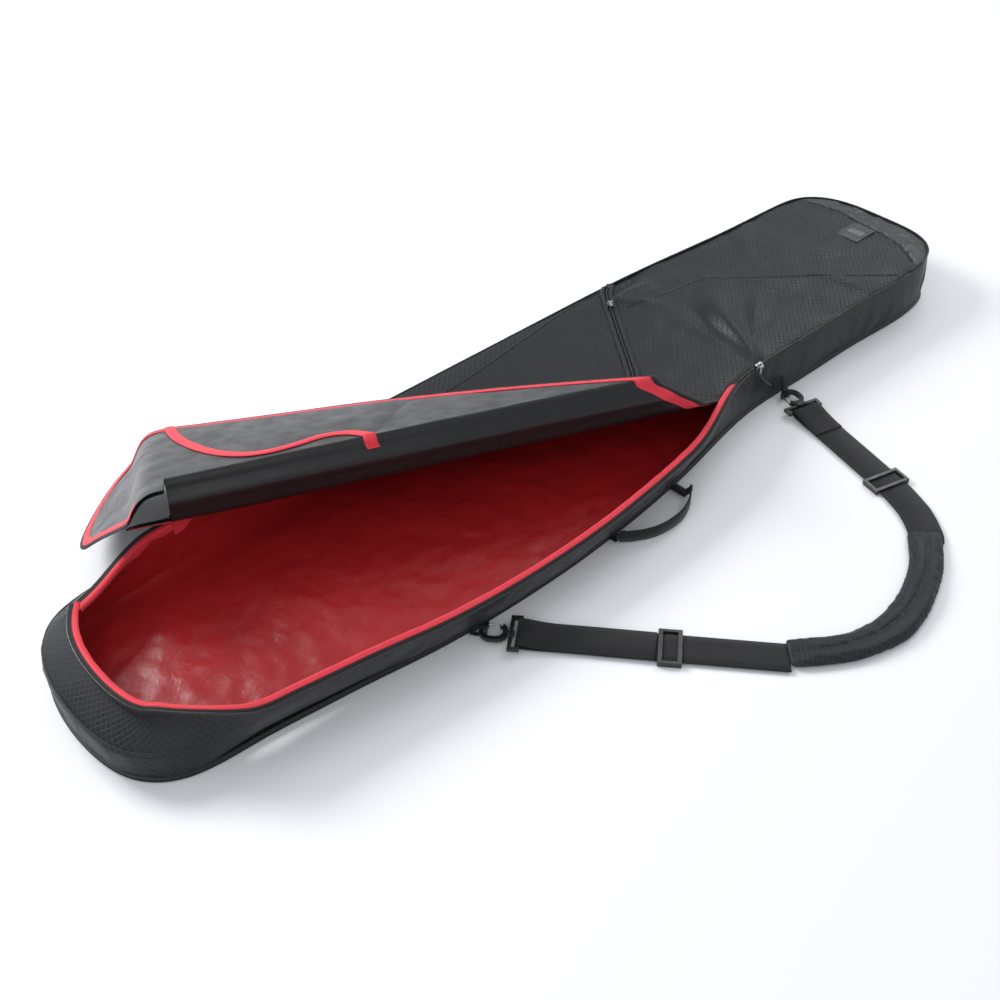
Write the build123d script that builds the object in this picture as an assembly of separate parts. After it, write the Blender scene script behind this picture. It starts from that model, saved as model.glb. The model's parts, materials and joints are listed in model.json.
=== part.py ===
from build123d import *
from math import cos, radians, sin
import os

# Padded snowboard bag, millimetres. The origin is the centre of the base at floor level,
# +X points along the bag to its nose, +Y to the side where the lid is sewn on, +Z is up.
# The bag is modelled as it lies open: the lid is rolled back over the far side and the
# near wall leans outward. Lid pieces are built flat and shut, then turned to that pose.

# ---------------------------------------------------------------- driving dimensions
SHELL = 1.0              # outer fabric
FOAM = 5.0               # padding in the walls
LINING = 0.8             # inner fabric
LAYER_GAP = 0.2          # room between the layers
BASE_TOP = 7.8           # top of the padded base
ZIP_LEVEL = 77.0         # where the wall fabric ends and the zip tape starts
WALL_FOAM_TOP = 80.0
WALL_TOP = 90.0          # wall fabric where the top panel is sewn on
LID_TOP = 93.0           # outer face of the shut lid
TAIL_WALL_TOP = 50.0     # upright wall round the tail, below the sloping shoulder
BINDING_LOW = 64.0       # lower edge of the red binding on the upright walls
SHOULDER_INSET = 42.0    # how far the shoulder leans in at the tail
SHOULDER_START = -600.0  # the shoulder fades out here
SHOULDER_FULL = -745.0   # and has its full width here

HINGE_Y = -205.0         # fold line of the near wall
HINGE_Z = 8.0
NEAR_WALL_LEAN = 25.0    # degrees outward when the bag lies open
NEAR_WALL_FOOT = 13.5
NEAR_WALL_X = (-599.0, 99.0)
ROOT_NEAR_X = (-600.0, 100.0)

FOLD_A = (138.0, -150.0)     # first fold line of the lid, near end
FOLD_B = (-570.0, 168.0)     # first fold line of the lid, far end
STRIP = 28.0                 # width of each of the three roll strips
STRIP_TURN = 42.0            # degrees at each of the first three folds
FLAP_TURN = 76.0             # degrees at the fourth fold
END_TURN = 34.0              # degrees at which the lid's tail end hangs
END_HEADING = (0.365, 0.931) # its fold line runs through FOLD_B in this direction
FOLD_GAP = 0.5               # half of the gap at each fold line

SLIDER_X = 300.0
ZIP_Y = -150.0               # the straight run of the main zip
ZIP_END_X = 745.0

OUTLINE = [
    (826, 20), (822, 75), (806, 115), (775, 142), (725, 152), (600, 156), (400, 170),
    (100, 176), (-200, 177), (-420, 176), (-540, 175), (-600, 173), (-665, 169),
    (-725, 163), (-775, 145),
    (-808, 105), (-826, 50), (-832, -10), (-828, -70), (-812, -118), (-780, -150),
    (-720, -167), (-660, -171), (-600, -178), (-520, -188), (-420, -203), (-280, -213), (-140, -212),
    (0, -200), (120, -182), (220, -161), (300, ZIP_Y), (420, ZIP_Y), (580, ZIP_Y),
    (740, ZIP_Y), (786, -134), (814, -98), (824, -45),
]

BIG = 4000.0


# ---------------------------------------------------------------- outline helpers
def inward_normals(points):
    """Unit normals of a closed outline that runs with its inside on the left or right."""
    normals = []
    count = len(points)
    for i in range(count):
        before = Vector(*points[i - 1])
        after = Vector(*points[(i + 1) % count])
        along = (after - before).normalized()
        normals.append(Vector(-along.Y, along.X))
    return normals


NORMALS = inward_normals(OUTLINE)


def shoulder_share(x):
    """0 where the walls are upright, 1 round the tail."""
    t = (SHOULDER_START - x) / (SHOULDER_START - SHOULDER_FULL)
    t = min(1.0, max(0.0, t))
    return t * t * (3 - 2 * t)


def base_loop(inset):
    """The floor outline moved inward by inset, as a plan spline."""
    points = [Vector(*p) + n * inset for p, n in zip(OUTLINE, NORMALS)]
    return Spline(*points, periodic=True)


def rim_loop(inset):
    """The zip line's outline, which the shoulder carries inward round the tail."""
    points = []
    for p, n in zip(OUTLINE, NORMALS):
        points.append(Vector(*p) + n * (inset + SHOULDER_INSET * shoulder_share(p[0])))
    return Spline(*points, periodic=True)


def slab(loop, low, high, *zones):
    """A flat plate with the outline of loop, kept inside each plan zone."""
    sheet = make_face(loop)
    for zone in zones:
        sheet = sheet & zone
    return raised(sheet, low, high)


def band(loop_at, outer, inner, low, high, *zones):
    """An upright ring between two insets of one outline, kept inside each plan zone."""
    sheet = make_face(loop_at(outer)) - make_face(loop_at(inner))
    for zone in zones:
        sheet = sheet & zone
    return raised(sheet, low, high)


def raised(sheet, low, high):
    """A plan sheet made solid between two heights."""
    return Pos(0, 0, low) * extrude(sheet, high - low, dir=(0, 0, 1))


def area(low, high):
    """A rectangle of the plan between two corners."""
    centre = [(a + b) / 2 for a, b in zip(low, high)]
    return Pos(*centre) * Rectangle(high[0] - low[0], high[1] - low[1])


def box_between(low, high):
    """A box between two corners."""
    size = [abs(b - a) for a, b in zip(low, high)]
    centre = [(a + b) / 2 for a, b in zip(low, high)]
    return Pos(*centre) * Box(*size)


def x_range(low, high):
    """The whole plan between two stations along the bag."""
    return area((low, -BIG), (high, BIG))


def closed_face(*curves):
    """The face inside curves that follow one another round an outline."""
    return make_face(Wire([edge for curve in curves for edge in curve.edges()]))


def strip_face(left, right):
    """The face between two smooth edges with straight ends."""
    far_end = Line(left[-1], right[-1])
    near_end = Line(right[0], left[0])
    return closed_face(Spline(*left), far_end, Spline(*reversed(right)), near_end)


def ribbon(path, thickness, width):
    """Webbing: a strip that follows path in the XZ plane in short flats, width across Y."""
    left, right = [], []
    last = len(path) - 1
    for i, point in enumerate(path):
        before = Vector(*path[max(i - 1, 0)])
        after = Vector(*path[min(i + 1, last)])
        along = (after - before).normalized()
        side = Vector(-along.Y, along.X) * (thickness / 2)
        left.append(Vector(*point) + side)
        right.append(Vector(*point) - side)
    outline = Polyline(*left, *reversed(right), close=True)
    strip = extrude(make_face(outline), width / 2, both=True)
    return Plane.XZ * strip


def heading(x, y):
    """Turns the local +X axis to the plan direction (x, y)."""
    return Plane(origin=(0, 0, 0), x_dir=(x, y, 0), z_dir=(0, 0, 1)).location


# ---------------------------------------------------------------- places along the zip
FAR_SIDE = area((FOLD_B[0], 0), (700, BIG))
NOSE_PLACE = x_range(700.2, BIG) + area((ROOT_NEAR_X[1], -BIG), (700.4, -60))
TAIL_PLACE = x_range(-BIG, ROOT_NEAR_X[0]) + area((ROOT_NEAR_X[0] - 0.2, 0), (FOLD_B[0] - 0.2, BIG))
NEAR_PART = area((NEAR_WALL_X[0], -BIG), (NEAR_WALL_X[1], 0))
NEAR_SILL = area((ROOT_NEAR_X[0] + 0.2, -BIG), (ROOT_NEAR_X[1] - 0.2, 0))

along_fold = (Vector(*FOLD_B) - Vector(*FOLD_A)).normalized()
across_fold = Vector(along_fold.Y, -along_fold.X)
if across_fold.Y > 0:
    across_fold = across_fold * -1
FOLD_PLANE = Plane(origin=(*FOLD_A, 0), x_dir=(across_fold.X, across_fold.Y, 0), z_dir=(0, 0, 1))


def lid_zone(start, stop):
    """The part of the lid between two distances from the first fold line."""
    return FOLD_PLANE.location * area((start, -BIG), (stop, BIG))


END_PLANE = Plane(origin=(*FOLD_B, 0), x_dir=(*END_HEADING, 0), z_dir=(0, 0, 1))
TAIL_SIDE = END_PLANE.location * area((-BIG, FOLD_GAP), (BIG, BIG))
NOSE_SIDE = END_PLANE.location * area((-BIG, -BIG), (BIG, -FOLD_GAP))
FIXED_ZONE = lid_zone(-BIG, -FOLD_GAP)
STRIP_ZONES = [lid_zone(FOLD_GAP, STRIP - FOLD_GAP)]
for strip_number in (1, 2):
    zone_start = strip_number * STRIP + FOLD_GAP
    zone_stop = (strip_number + 1) * STRIP - FOLD_GAP
    STRIP_ZONES.append(lid_zone(zone_start, zone_stop) & NOSE_SIDE)
FLAP_ZONE = lid_zone(3 * STRIP + FOLD_GAP, BIG) & NOSE_SIDE
END_ZONE = lid_zone(STRIP + FOLD_GAP, BIG) & TAIL_SIDE


# ---------------------------------------------------------------- turning to the open pose
FOLD_AXES = []
for fold_number in range(4):
    fold_start = Vector(*FOLD_A) + across_fold * (fold_number * STRIP)
    fold_origin = (fold_start.X, fold_start.Y, LID_TOP)
    FOLD_AXES.append(Axis(fold_origin, (along_fold.X, along_fold.Y, 0)))
END_AXIS = Axis((*FOLD_B, LID_TOP), (*END_HEADING, 0))
NEAR_AXIS = Axis((0, HINGE_Y, HINGE_Z), (1, 0, 0))


def folded(shape, folds):
    """Turns a shut lid piece about the fold lines that lie between it and the top panel."""
    turns = [STRIP_TURN, STRIP_TURN, STRIP_TURN, FLAP_TURN]
    for fold in reversed(range(folds)):
        shape = shape.rotate(FOLD_AXES[fold], FOLD_SIGN * turns[fold])
    return shape


def lid_end(shape):
    """Turns a piece of the lid's tail end to its hanging pose."""
    return folded(shape.rotate(END_AXIS, END_TURN), 4)


def leaned(shape):
    """Leans a near wall piece outward."""
    return shape.rotate(NEAR_AXIS, NEAR_WALL_LEAN)


# Turning about +along_fold lifts the side that across_fold points to when this is positive.
FOLD_SIGN = 1 if along_fold.cross(across_fold).Z > 0 else -1

parts = {}


# ---------------------------------------------------------------- base
WALL_FOOT = SHELL + 0.4
LINING_IN = SHELL + LAYER_GAP + FOAM + LAYER_GAP
WALL_IN = LINING_IN + LINING

parts["base_panel"] = slab(base_loop(0), 0, 1.2)
parts["base_foam"] = slab(base_loop(WALL_IN + LAYER_GAP), WALL_FOOT, 6.8)
parts["base_lining"] = slab(base_loop(WALL_IN + LAYER_GAP), 7.0, BASE_TOP)


# ---------------------------------------------------------------- walls
def wall_layers(low, shell_top, foam_top, lining_top, zone):
    """Shell, foam and lining of an upright wall over one stretch of the outline."""
    foam_out = SHELL + LAYER_GAP
    shell = band(base_loop, 0, SHELL, low, shell_top, zone)
    foam = band(base_loop, foam_out, foam_out + FOAM, low, foam_top, zone)
    lining = band(base_loop, LINING_IN, WALL_IN, low, lining_top, zone)
    return shell, foam, lining


def solids_of(*shapes):
    """One node from several separate pieces."""
    found = []
    for shape in shapes:
        found += list(shape.solids())
    return Compound(found)


far_shell, far_foam, far_lining = wall_layers(WALL_FOOT, WALL_TOP, WALL_FOAM_TOP, 86, FAR_SIDE)
nose_shell, nose_foam, nose_lining = wall_layers(
    WALL_FOOT, ZIP_LEVEL, WALL_FOAM_TOP, 86, NOSE_PLACE
)
far_nose_rise = band(base_loop, 0, SHELL, ZIP_LEVEL, WALL_TOP, area((700.2, 0), (BIG, BIG)))
tail_shell, tail_foam, tail_lining = wall_layers(
    WALL_FOOT, TAIL_WALL_TOP, TAIL_WALL_TOP, TAIL_WALL_TOP, TAIL_PLACE
)
sill_shell, sill_foam, _ = wall_layers(WALL_FOOT, 8, 8, 8, NEAR_SILL)

parts["far_wall_panel"] = far_shell
parts["nose_wall_panel"] = nose_shell + far_nose_rise
parts["tail_wall_panel"] = tail_shell
parts["near_sill"] = solids_of(sill_shell, sill_foam)


# ---------------------------------------------------------------- tail shoulder
def shoulder_layer(outer, inner):
    """One layer of the slope from the tail wall up to the zip line."""

    def cone(inset):
        low = Pos(0, 0, TAIL_WALL_TOP + 0.2) * make_face(base_loop(inset))
        high = Pos(0, 0, ZIP_LEVEL) * make_face(rim_loop(inset))
        return loft([low, high], ruled=True)

    return (cone(outer) - cone(inner)) & raised(TAIL_PLACE, 0, 100)


foam_start = SHELL + LAYER_GAP
shoulder_foam = shoulder_layer(foam_start, foam_start + FOAM)
shoulder_lining = shoulder_layer(LINING_IN, WALL_IN)
parts["tail_shoulder_panel"] = shoulder_layer(0, SHELL)
parts["wall_foam"] = solids_of(far_foam, nose_foam, tail_foam, shoulder_foam)
parts["wall_lining"] = solids_of(far_lining, nose_lining, tail_lining, shoulder_lining)


# ---------------------------------------------------------------- zip, binding and near wall
def zip_tape(loop_at, zone):
    """The zip's cloth tape, standing on the wall fabric."""
    return band(loop_at, 0.2, 1.0, ZIP_LEVEL + 0.2, 88, zone)


def zip_coil(loop_at, top, zone):
    """The zip's teeth, on the outside of the tape."""
    return band(loop_at, -1.2, 0, 84, top, zone)


def red_binding(loop_at, low, zone):
    """Binding that covers the wall's top seam on the inside."""
    skirt_in = WALL_IN + LAYER_GAP
    skirt = band(loop_at, skirt_in, skirt_in + 0.8, low, 86.8, zone)
    cap = band(loop_at, 1.4, skirt_in, 86.1, 86.8, zone)
    return skirt + cap


open_nose_side = area((ROOT_NEAR_X[1], -BIG), (SLIDER_X - 9, 0))
closed_nose_side = area((SLIDER_X + 9, -BIG), (ZIP_END_X, 0))
nose_tape_place = area((ROOT_NEAR_X[1], -BIG), (ZIP_END_X, 0))

near_shell, near_foam, near_lining = wall_layers(
    NEAR_WALL_FOOT, ZIP_LEVEL, WALL_FOAM_TOP, 86, NEAR_PART
)
parts["near_wall_panel"] = leaned(near_shell)
parts["near_wall_foam"] = leaned(near_foam)
parts["near_wall_lining"] = leaned(near_lining)
parts["near_zip_tape"] = leaned(zip_tape(base_loop, NEAR_PART))
parts["near_zip_coil"] = leaned(zip_coil(base_loop, 87.6, NEAR_PART))
parts["near_binding"] = leaned(red_binding(base_loop, BINDING_LOW, NEAR_PART))
inner_strap_zone = area((-150, -BIG), (10, 0))
parts["inner_strap"] = leaned(band(base_loop, WALL_IN + 0.2, WALL_IN + 1.8, 32, 57, inner_strap_zone))


# ---------------------------------------------------------------- lid and top panel
EDGE_SEAM = 1.5          # the panels end this far inside the rim
STRIP_IN = 4.0           # and the roll strips this far
TAPE_IN = 12.5
PAD_IN = 13.0
NOSE_SEAM = [(760, 200), (776, 100), (780, 62), (774, 1), (768, -45), (757, -89), (737, -128), (700, -200)]


def lid_layer(name, *zones):
    """One layer of the lid or the top panel, shut and flat."""
    if name == "panel":
        return slab(rim_loop(EDGE_SEAM), LID_TOP - SHELL, LID_TOP, *zones)
    if name == "foam":
        return slab(rim_loop(PAD_IN), 87.7, 91.8, *zones)
    if name == "lining":
        return slab(rim_loop(PAD_IN), 86.9, 87.5, *zones)
    if name == "zip_tape":
        return band(rim_loop, 0.3, TAPE_IN, 90.6, 91.4, *zones)
    if name == "zip_coil":
        return band(rim_loop, -1.0, 1.2, 88.2, 90.4, *zones)
    return band(rim_loop, 10.0, 31.0, 86.0, 86.7, *zones)


nose_rest = Polyline((700, -200), (1000, -200), (1000, 200), (760, 200))
nose_zone = closed_face(Spline(*NOSE_SEAM), nose_rest)
fixed_edge = area((FOLD_A[0] - 60, -BIG), (SLIDER_X - 9, 0))

parts["nose_end_strip"] = lid_layer("panel", nose_zone)
top_sheet = (make_face(rim_loop(EDGE_SEAM)) & FIXED_ZONE) - nose_zone
parts["top_panel"] = raised(top_sheet, LID_TOP - SHELL, LID_TOP)
parts["top_foam"] = lid_layer("foam", FIXED_ZONE)
parts["top_lining"] = lid_layer("lining", FIXED_ZONE)
top_cord = band(rim_loop, -2.2, -0.1, 90.3, 92.6, area((FOLD_B[0] + 4, 0), (BIG, BIG)))
parts["piping"] = solids_of(band(base_loop, -2.4, -0.1, 0.6, 2.8), top_cord)

parts["zip_chain_closed"] = zip_coil(base_loop, 90, closed_nose_side)
parts["opening_zip_tape"] = solids_of(
    zip_tape(rim_loop, TAIL_PLACE),
    zip_tape(base_loop, nose_tape_place),
    lid_layer("zip_tape", FIXED_ZONE, area((0, -BIG), (ZIP_END_X, 0))),
)
parts["opening_zip_coil"] = solids_of(
    zip_coil(rim_loop, 87.6, TAIL_PLACE),
    zip_coil(base_loop, 87.6, open_nose_side),
    lid_layer("zip_coil", FIXED_ZONE, fixed_edge),
)
parts["opening_binding"] = solids_of(
    red_binding(rim_loop, ZIP_LEVEL + 0.4, TAIL_PLACE),
    red_binding(base_loop, BINDING_LOW, FAR_SIDE),
    red_binding(base_loop, BINDING_LOW, NOSE_PLACE),
    lid_layer("binding", FIXED_ZONE, fixed_edge),
)

for number, zone in enumerate(STRIP_ZONES, 1):
    parts[f"lid_strip_{number}"] = folded(slab(rim_loop(STRIP_IN), 87, LID_TOP, zone), number)

END_RELIEF = area((-660, 138), (BIG, BIG))
for name in ("panel", "foam", "lining", "binding"):
    parts[f"lid_{name}"] = folded(lid_layer(name, FLAP_ZONE), 4)
    parts[f"lid_end_{name}"] = lid_end(lid_layer(name, END_ZONE - END_RELIEF))
end_zip_zone = END_ZONE - area((-682, 100), (BIG, BIG))
for node, zone, turn in (("lid_zip", FLAP_ZONE, 4), ("lid_end_zip", end_zip_zone, 5)):
    half = solids_of(lid_layer("zip_tape", zone), lid_layer("zip_coil", zone))
    parts[node] = lid_end(half) if turn == 5 else folded(half, turn)

pocket_edge = [(-690, -20), (-640, -75), (-560, -75), (-500, -40), (-430, -28), (-380, -60), (-330, -110)]
pocket_rest = Polyline((-330, -110), (-330, -400), (-690, -400), (-690, -20))
pocket_zone = closed_face(Spline(*pocket_edge), pocket_rest)
parts["lid_pocket_panel"] = folded(slab(rim_loop(32.0), 85.2, 85.8, pocket_zone, FLAP_ZONE), 4)


# ---------------------------------------------------------------- outer pocket and label
POCKET_TOP = (262.0, 140.0)
POCKET_LOW = (126.0, -50.0)
POCKET_SLIDER = (250.0, 123.2)
pocket_line = (Vector(*POCKET_LOW) - Vector(*POCKET_TOP)).normalized()
pocket_length = (Vector(*POCKET_LOW) - Vector(*POCKET_TOP)).length
pocket_frame = Pos(*POCKET_TOP, LID_TOP) * heading(pocket_line.X, pocket_line.Y)


def along_pocket(low, high):
    """A box in the pocket zip's own frame, sitting on the top panel."""
    return pocket_frame * box_between(low, high)


parts["pocket_zip"] = solids_of(
    along_pocket((-14, -14, 0.1), (pocket_length + 14, 14, 0.9)),
    along_pocket((-8, -2.4, 1.0), (pocket_length + 8, 2.4, 2.4)),
)
pocket_bag_box = box_between((-560, -30, 0), (-200, 140, 1.2))
parts["pocket_bag"] = Pos(700, 0, 84.6) * pocket_bag_box
parts["label_patch"] = Pos(736, -14, LID_TOP + 0.6) * Box(56, 46, 1.0)


# ---------------------------------------------------------------- sliders and pulls
PIN_R = 0.9              # hinge pin of a zip pull
EYE_R = 0.97             # eye that runs on the pin


def zip_slider(length, width):
    """A zip slider lying on the zip: rounded body, two ears and the pull's pin along X."""
    body = Pos(0, 0, 2) * Box(length, width, 4)
    body = fillet(body.edges().filter_by(Axis.Z), width * 0.3)
    ears = Pos(-3.6, 0, 6) * Box(1.2, 4, 5) + Pos(3.6, 0, 6) * Box(1.2, 4, 5)
    pin = Pos(0, 0, 6.5) * Rot(Y=90) * Cylinder(PIN_R, 7.2)
    return body + ears + pin


def zip_pull(length):
    """A flat metal pull with an eye on the slider's pin and a hole for a cord."""
    eye = Rot(Y=90) * Cylinder(2.2, 5.4)
    tab = Pos(0, -length / 2, 0) * Box(5.4, length, 1.4)
    hole = Pos(0, 2.0 - length, 0) * Box(2.6, 2.2, 3)
    return eye + tab - Rot(Y=90) * Cylinder(EYE_R, 9) - hole


SLIDER_Y = ZIP_Y - 1.5
on_wall = Pos(SLIDER_X, SLIDER_Y, 88.0) * Rot(X=90)
parts["main_slider"] = on_wall * zip_slider(15, 10)
on_pin = Pos(0, 0, 6.5)
parts["main_pull"] = on_wall * on_pin * zip_pull(14)
cord_y = SLIDER_Y - 6.5
cord_path = Spline((SLIDER_X, cord_y, 73.3), (308, cord_y - 0.5, 62), (328, cord_y - 3, 41))
cord_start = Plane(origin=cord_path @ 0, z_dir=cord_path % 0)
parts["main_pull_cord"] = sweep(cord_start * Circle(1.4), path=cord_path)

slider_at = (Vector(*POCKET_SLIDER) - Vector(*POCKET_TOP)).length
on_pocket = pocket_frame * Pos(slider_at, 0, 2.6) * Rot(Z=90)
parts["pocket_slider"] = on_pocket * zip_slider(9, 12)
parts["pocket_pull"] = on_pocket * on_pin * Rot(X=-8) * zip_pull(16)


# ---------------------------------------------------------------- carry handle
HANDLE_Y = -224.5
HANDLE_ENDS = (-86.0, 66.0)
HANDLE_LOW = 5.0
HANDLE_WIDTH = 20.0
handle_path = [(-86, -226), (-72, -236), (-46, -251), (-11, -258), (28, -248), (52, -236), (66, -226)]


def flat_strip(path, widths, low, high):
    """A strip lying in plan along path, with its own width at each point."""
    left, right = [], []
    last = len(path) - 1
    for i, point in enumerate(path):
        before = Vector(*path[max(i - 1, 0)])
        after = Vector(*path[min(i + 1, last)])
        along = (after - before).normalized()
        side = Vector(-along.Y, along.X) * (widths[i] / 2)
        left.append(Vector(*point) + side)
        right.append(Vector(*point) - side)
    return Pos(0, 0, low) * extrude(strip_face(left, right), high - low, dir=(0, 0, 1))


handle_width = [2.4] * len(handle_path)
parts["carry_handle"] = flat_strip(handle_path, handle_width, HANDLE_LOW, HANDLE_LOW + HANDLE_WIDTH)
handle_tabs = []
for x, wall_y in ((HANDLE_ENDS[0], -212.4), (HANDLE_ENDS[1], -193.6)):
    handle_tabs.append(box_between((x - 7, HANDLE_Y + 0.4, 3), (x + 7, wall_y, 7.5)))


# ---------------------------------------------------------------- shoulder strap
WEBBING = 50.0
WEBBING_T = 1.6
HOOK_Z = 9.5
STRAP_Z = 4.2            # middle of the webbing where it lies flat
BAR_X = 51.0             # the hook's webbing bar, from the middle of its bend
BAR_R = 2.5
HOOK_T = 6.4
PIVOT_R = 3.0
PIVOT_BORE = 3.06
GATE_ROOT = 27.6
GATE_TIP = 9.2
GATE_Y = 13.2
ADJUSTER_AT = 250.0

HOOK_TAIL = (-349.0, -226.0)
TAIL_WAY = (0.65, -0.76)
HOOK_NOSE = (366.0, -166.0)
NOSE_WAY = (-0.26, -0.966)
tail_frame = Pos(*HOOK_TAIL, 0) * heading(*TAIL_WAY)
nose_frame = Pos(*HOOK_NOSE, 0) * heading(*NOSE_WAY)


def snap_hook(side):
    """A flat hook with an eye, a gap for the gate on one side and a swivel pivot."""
    outer = Pos(16.1, 0) * RectangleRounded(38.9, 33, 16)
    inner = Pos(16.1, 0) * RectangleRounded(25.8, 20, 9.5)
    body = Pos(0, 0, HOOK_Z - HOOK_T / 2) * extrude(outer - inner, HOOK_T)
    gap = box_between((GATE_TIP - 0.8, 9 * side, 0), (GATE_ROOT + 0.6, 20 * side, 30))
    pivot = Pos(38.5, 0, HOOK_Z) * Rot(Y=90) * Cylinder(PIVOT_R, 9)
    head = Pos(43.4, 0, HOOK_Z) * Rot(Y=90) * Cylinder(4.2, 1.8)
    return body - gap + pivot + head


def hook_loop():
    """The frame that the hook swivels in and the webbing runs round."""
    block = box_between((37.2, -8, HOOK_Z - 5), (42.2, 8, HOOK_Z + 5))
    bar_across = Pos(39.7, 0, HOOK_Z) * Box(5, 63, 5)
    ends = Pos(45.2, 29, HOOK_Z) * Box(16, 5, 5) + Pos(45.2, -29, HOOK_Z) * Box(16, 5, 5)
    bar = Pos(BAR_X, 0, HOOK_Z) * Rot(X=90) * Cylinder(BAR_R, 58)
    bore = Pos(39.7, 0, HOOK_Z) * Rot(Y=90) * Cylinder(PIVOT_BORE, 12)
    return block + bar_across + ends + bar - bore


def hook_gate(side):
    """The wire that closes the hook's gap."""
    middle = (GATE_ROOT + GATE_TIP) / 2
    return Pos(middle, side * GATE_Y, HOOK_Z) * Rot(Y=90) * Cylinder(1.1, GATE_ROOT - GATE_TIP)


def looped_webbing(straight_end, return_end):
    """Webbing that lies flat, turns round the hook's bar and comes back on itself."""
    turn = BAR_R + 0.3 + WEBBING_T / 2
    path = [(straight_end, STRAP_Z), (200, STRAP_Z), (130, STRAP_Z), (95, STRAP_Z), (78, 4.3), (64, 4.9)]
    for angle in range(270, 80, -30):
        path.append((BAR_X + turn * cos(radians(angle)), HOOK_Z + turn * sin(radians(angle))))
    back = STRAP_Z + WEBBING_T + 0.3
    path += [(64, 11.2), (80, 7.6), (98, back + 0.1), (return_end - 8, back), (return_end, back)]
    return ribbon(path, WEBBING_T, WEBBING)


def adjuster():
    """A three-bar slide: two end bars over the webbing and a low middle bar under it."""
    rails = box_between((-16, 26.2, 0.6), (16, 31, 8.4)) + box_between((-16, -31, 0.6), (16, -26.2, 8.4))
    over = box_between((-16, -27, 5.3), (-10, 27, 8.4)) + box_between((10, -27, 5.3), (16, 27, 8.4))
    under = box_between((-2.6, -27, 0.6), (2.6, 27, 3.2))
    return rails + over + under


parts["hook_tail"] = tail_frame * snap_hook(1)
parts["gate_tail"] = tail_frame * hook_gate(1)
parts["hook_nose"] = nose_frame * snap_hook(-1)
parts["gate_nose"] = nose_frame * hook_gate(-1)
parts["hook_loops"] = solids_of(tail_frame * hook_loop(), nose_frame * hook_loop())
parts["webbing_tail"] = tail_frame * looped_webbing(390, ADJUSTER_AT - 18)
parts["adjuster_tail"] = tail_frame * Pos(ADJUSTER_AT, 0, 0) * adjuster()
parts["adjuster_nose"] = nose_frame * Pos(ADJUSTER_AT, 0, 0) * adjuster()

PAD_PATH = [(-91, -528), (-52, -557), (-8, -581), (50, -593), (112, -586), (172, -564), (216, -538), (250, -511)]
PAD_WIDTHS = [50, 54, 57, 58, 58, 57, 54, 50]
parts["shoulder_pad"] = flat_strip(PAD_PATH, PAD_WIDTHS, 0.5, 12.5)

NOSE_STRAIGHT = 284.0
turn_start = Vector(*HOOK_NOSE) + Vector(*NOSE_WAY) * (NOSE_STRAIGHT - 0.5)
pad_end = Vector(257, -503)
turn_middle = (turn_start + pad_end) * 0.5 + Vector(3.5, -1.5)
turn_path = [(turn_start.X, turn_start.Y), (turn_middle.X, turn_middle.Y), (pad_end.X, pad_end.Y)]
half_t = WEBBING_T / 2
bend = flat_strip(turn_path, [WEBBING] * 3, STRAP_Z - half_t, STRAP_Z + half_t)
parts["webbing_nose"] = nose_frame * looped_webbing(NOSE_STRAIGHT, 112) + bend

TAB_WIDTH = 6.0
TAB_T = 1.4
TAB_TURN = 7.6


def tab_loop(lower, upper):
    """A narrow webbing loop through a hook's eye, round its bend."""
    path = list(lower)
    for angle in range(-90, 100, 30):
        path.append((TAB_TURN * cos(radians(angle)), HOOK_Z + TAB_TURN * sin(radians(angle))))
    return ribbon(path + list(upper), TAB_T, TAB_WIDTH)


tail_tab = tab_loop([(-16, 3.9), (-13, 3.7), (-8, 2.6)], [(-6, 15.4), (-10.5, 10), (-13.5, 7.1), (-17, 6.2)])
nose_tab = tab_loop([(-14.4, 24), (-10, 12), (-5.4, 4.4)], [(-6.4, 19.6), (-11, 26), (-14.4, 32)])
parts["sewn_tabs"] = solids_of(tail_frame * tail_tab, nose_frame * nose_tab, *handle_tabs)


# ---------------------------------------------------------------- export
os.makedirs("parts", exist_ok=True)
for node, shape in parts.items():
    export_step(shape, f"parts/{node}.step")
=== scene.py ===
import json
import math

import bmesh
import bpy
import numpy as np
from mathutils import Matrix, Vector, kdtree
from mathutils.geometry import delaunay_2d_cdt

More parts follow.
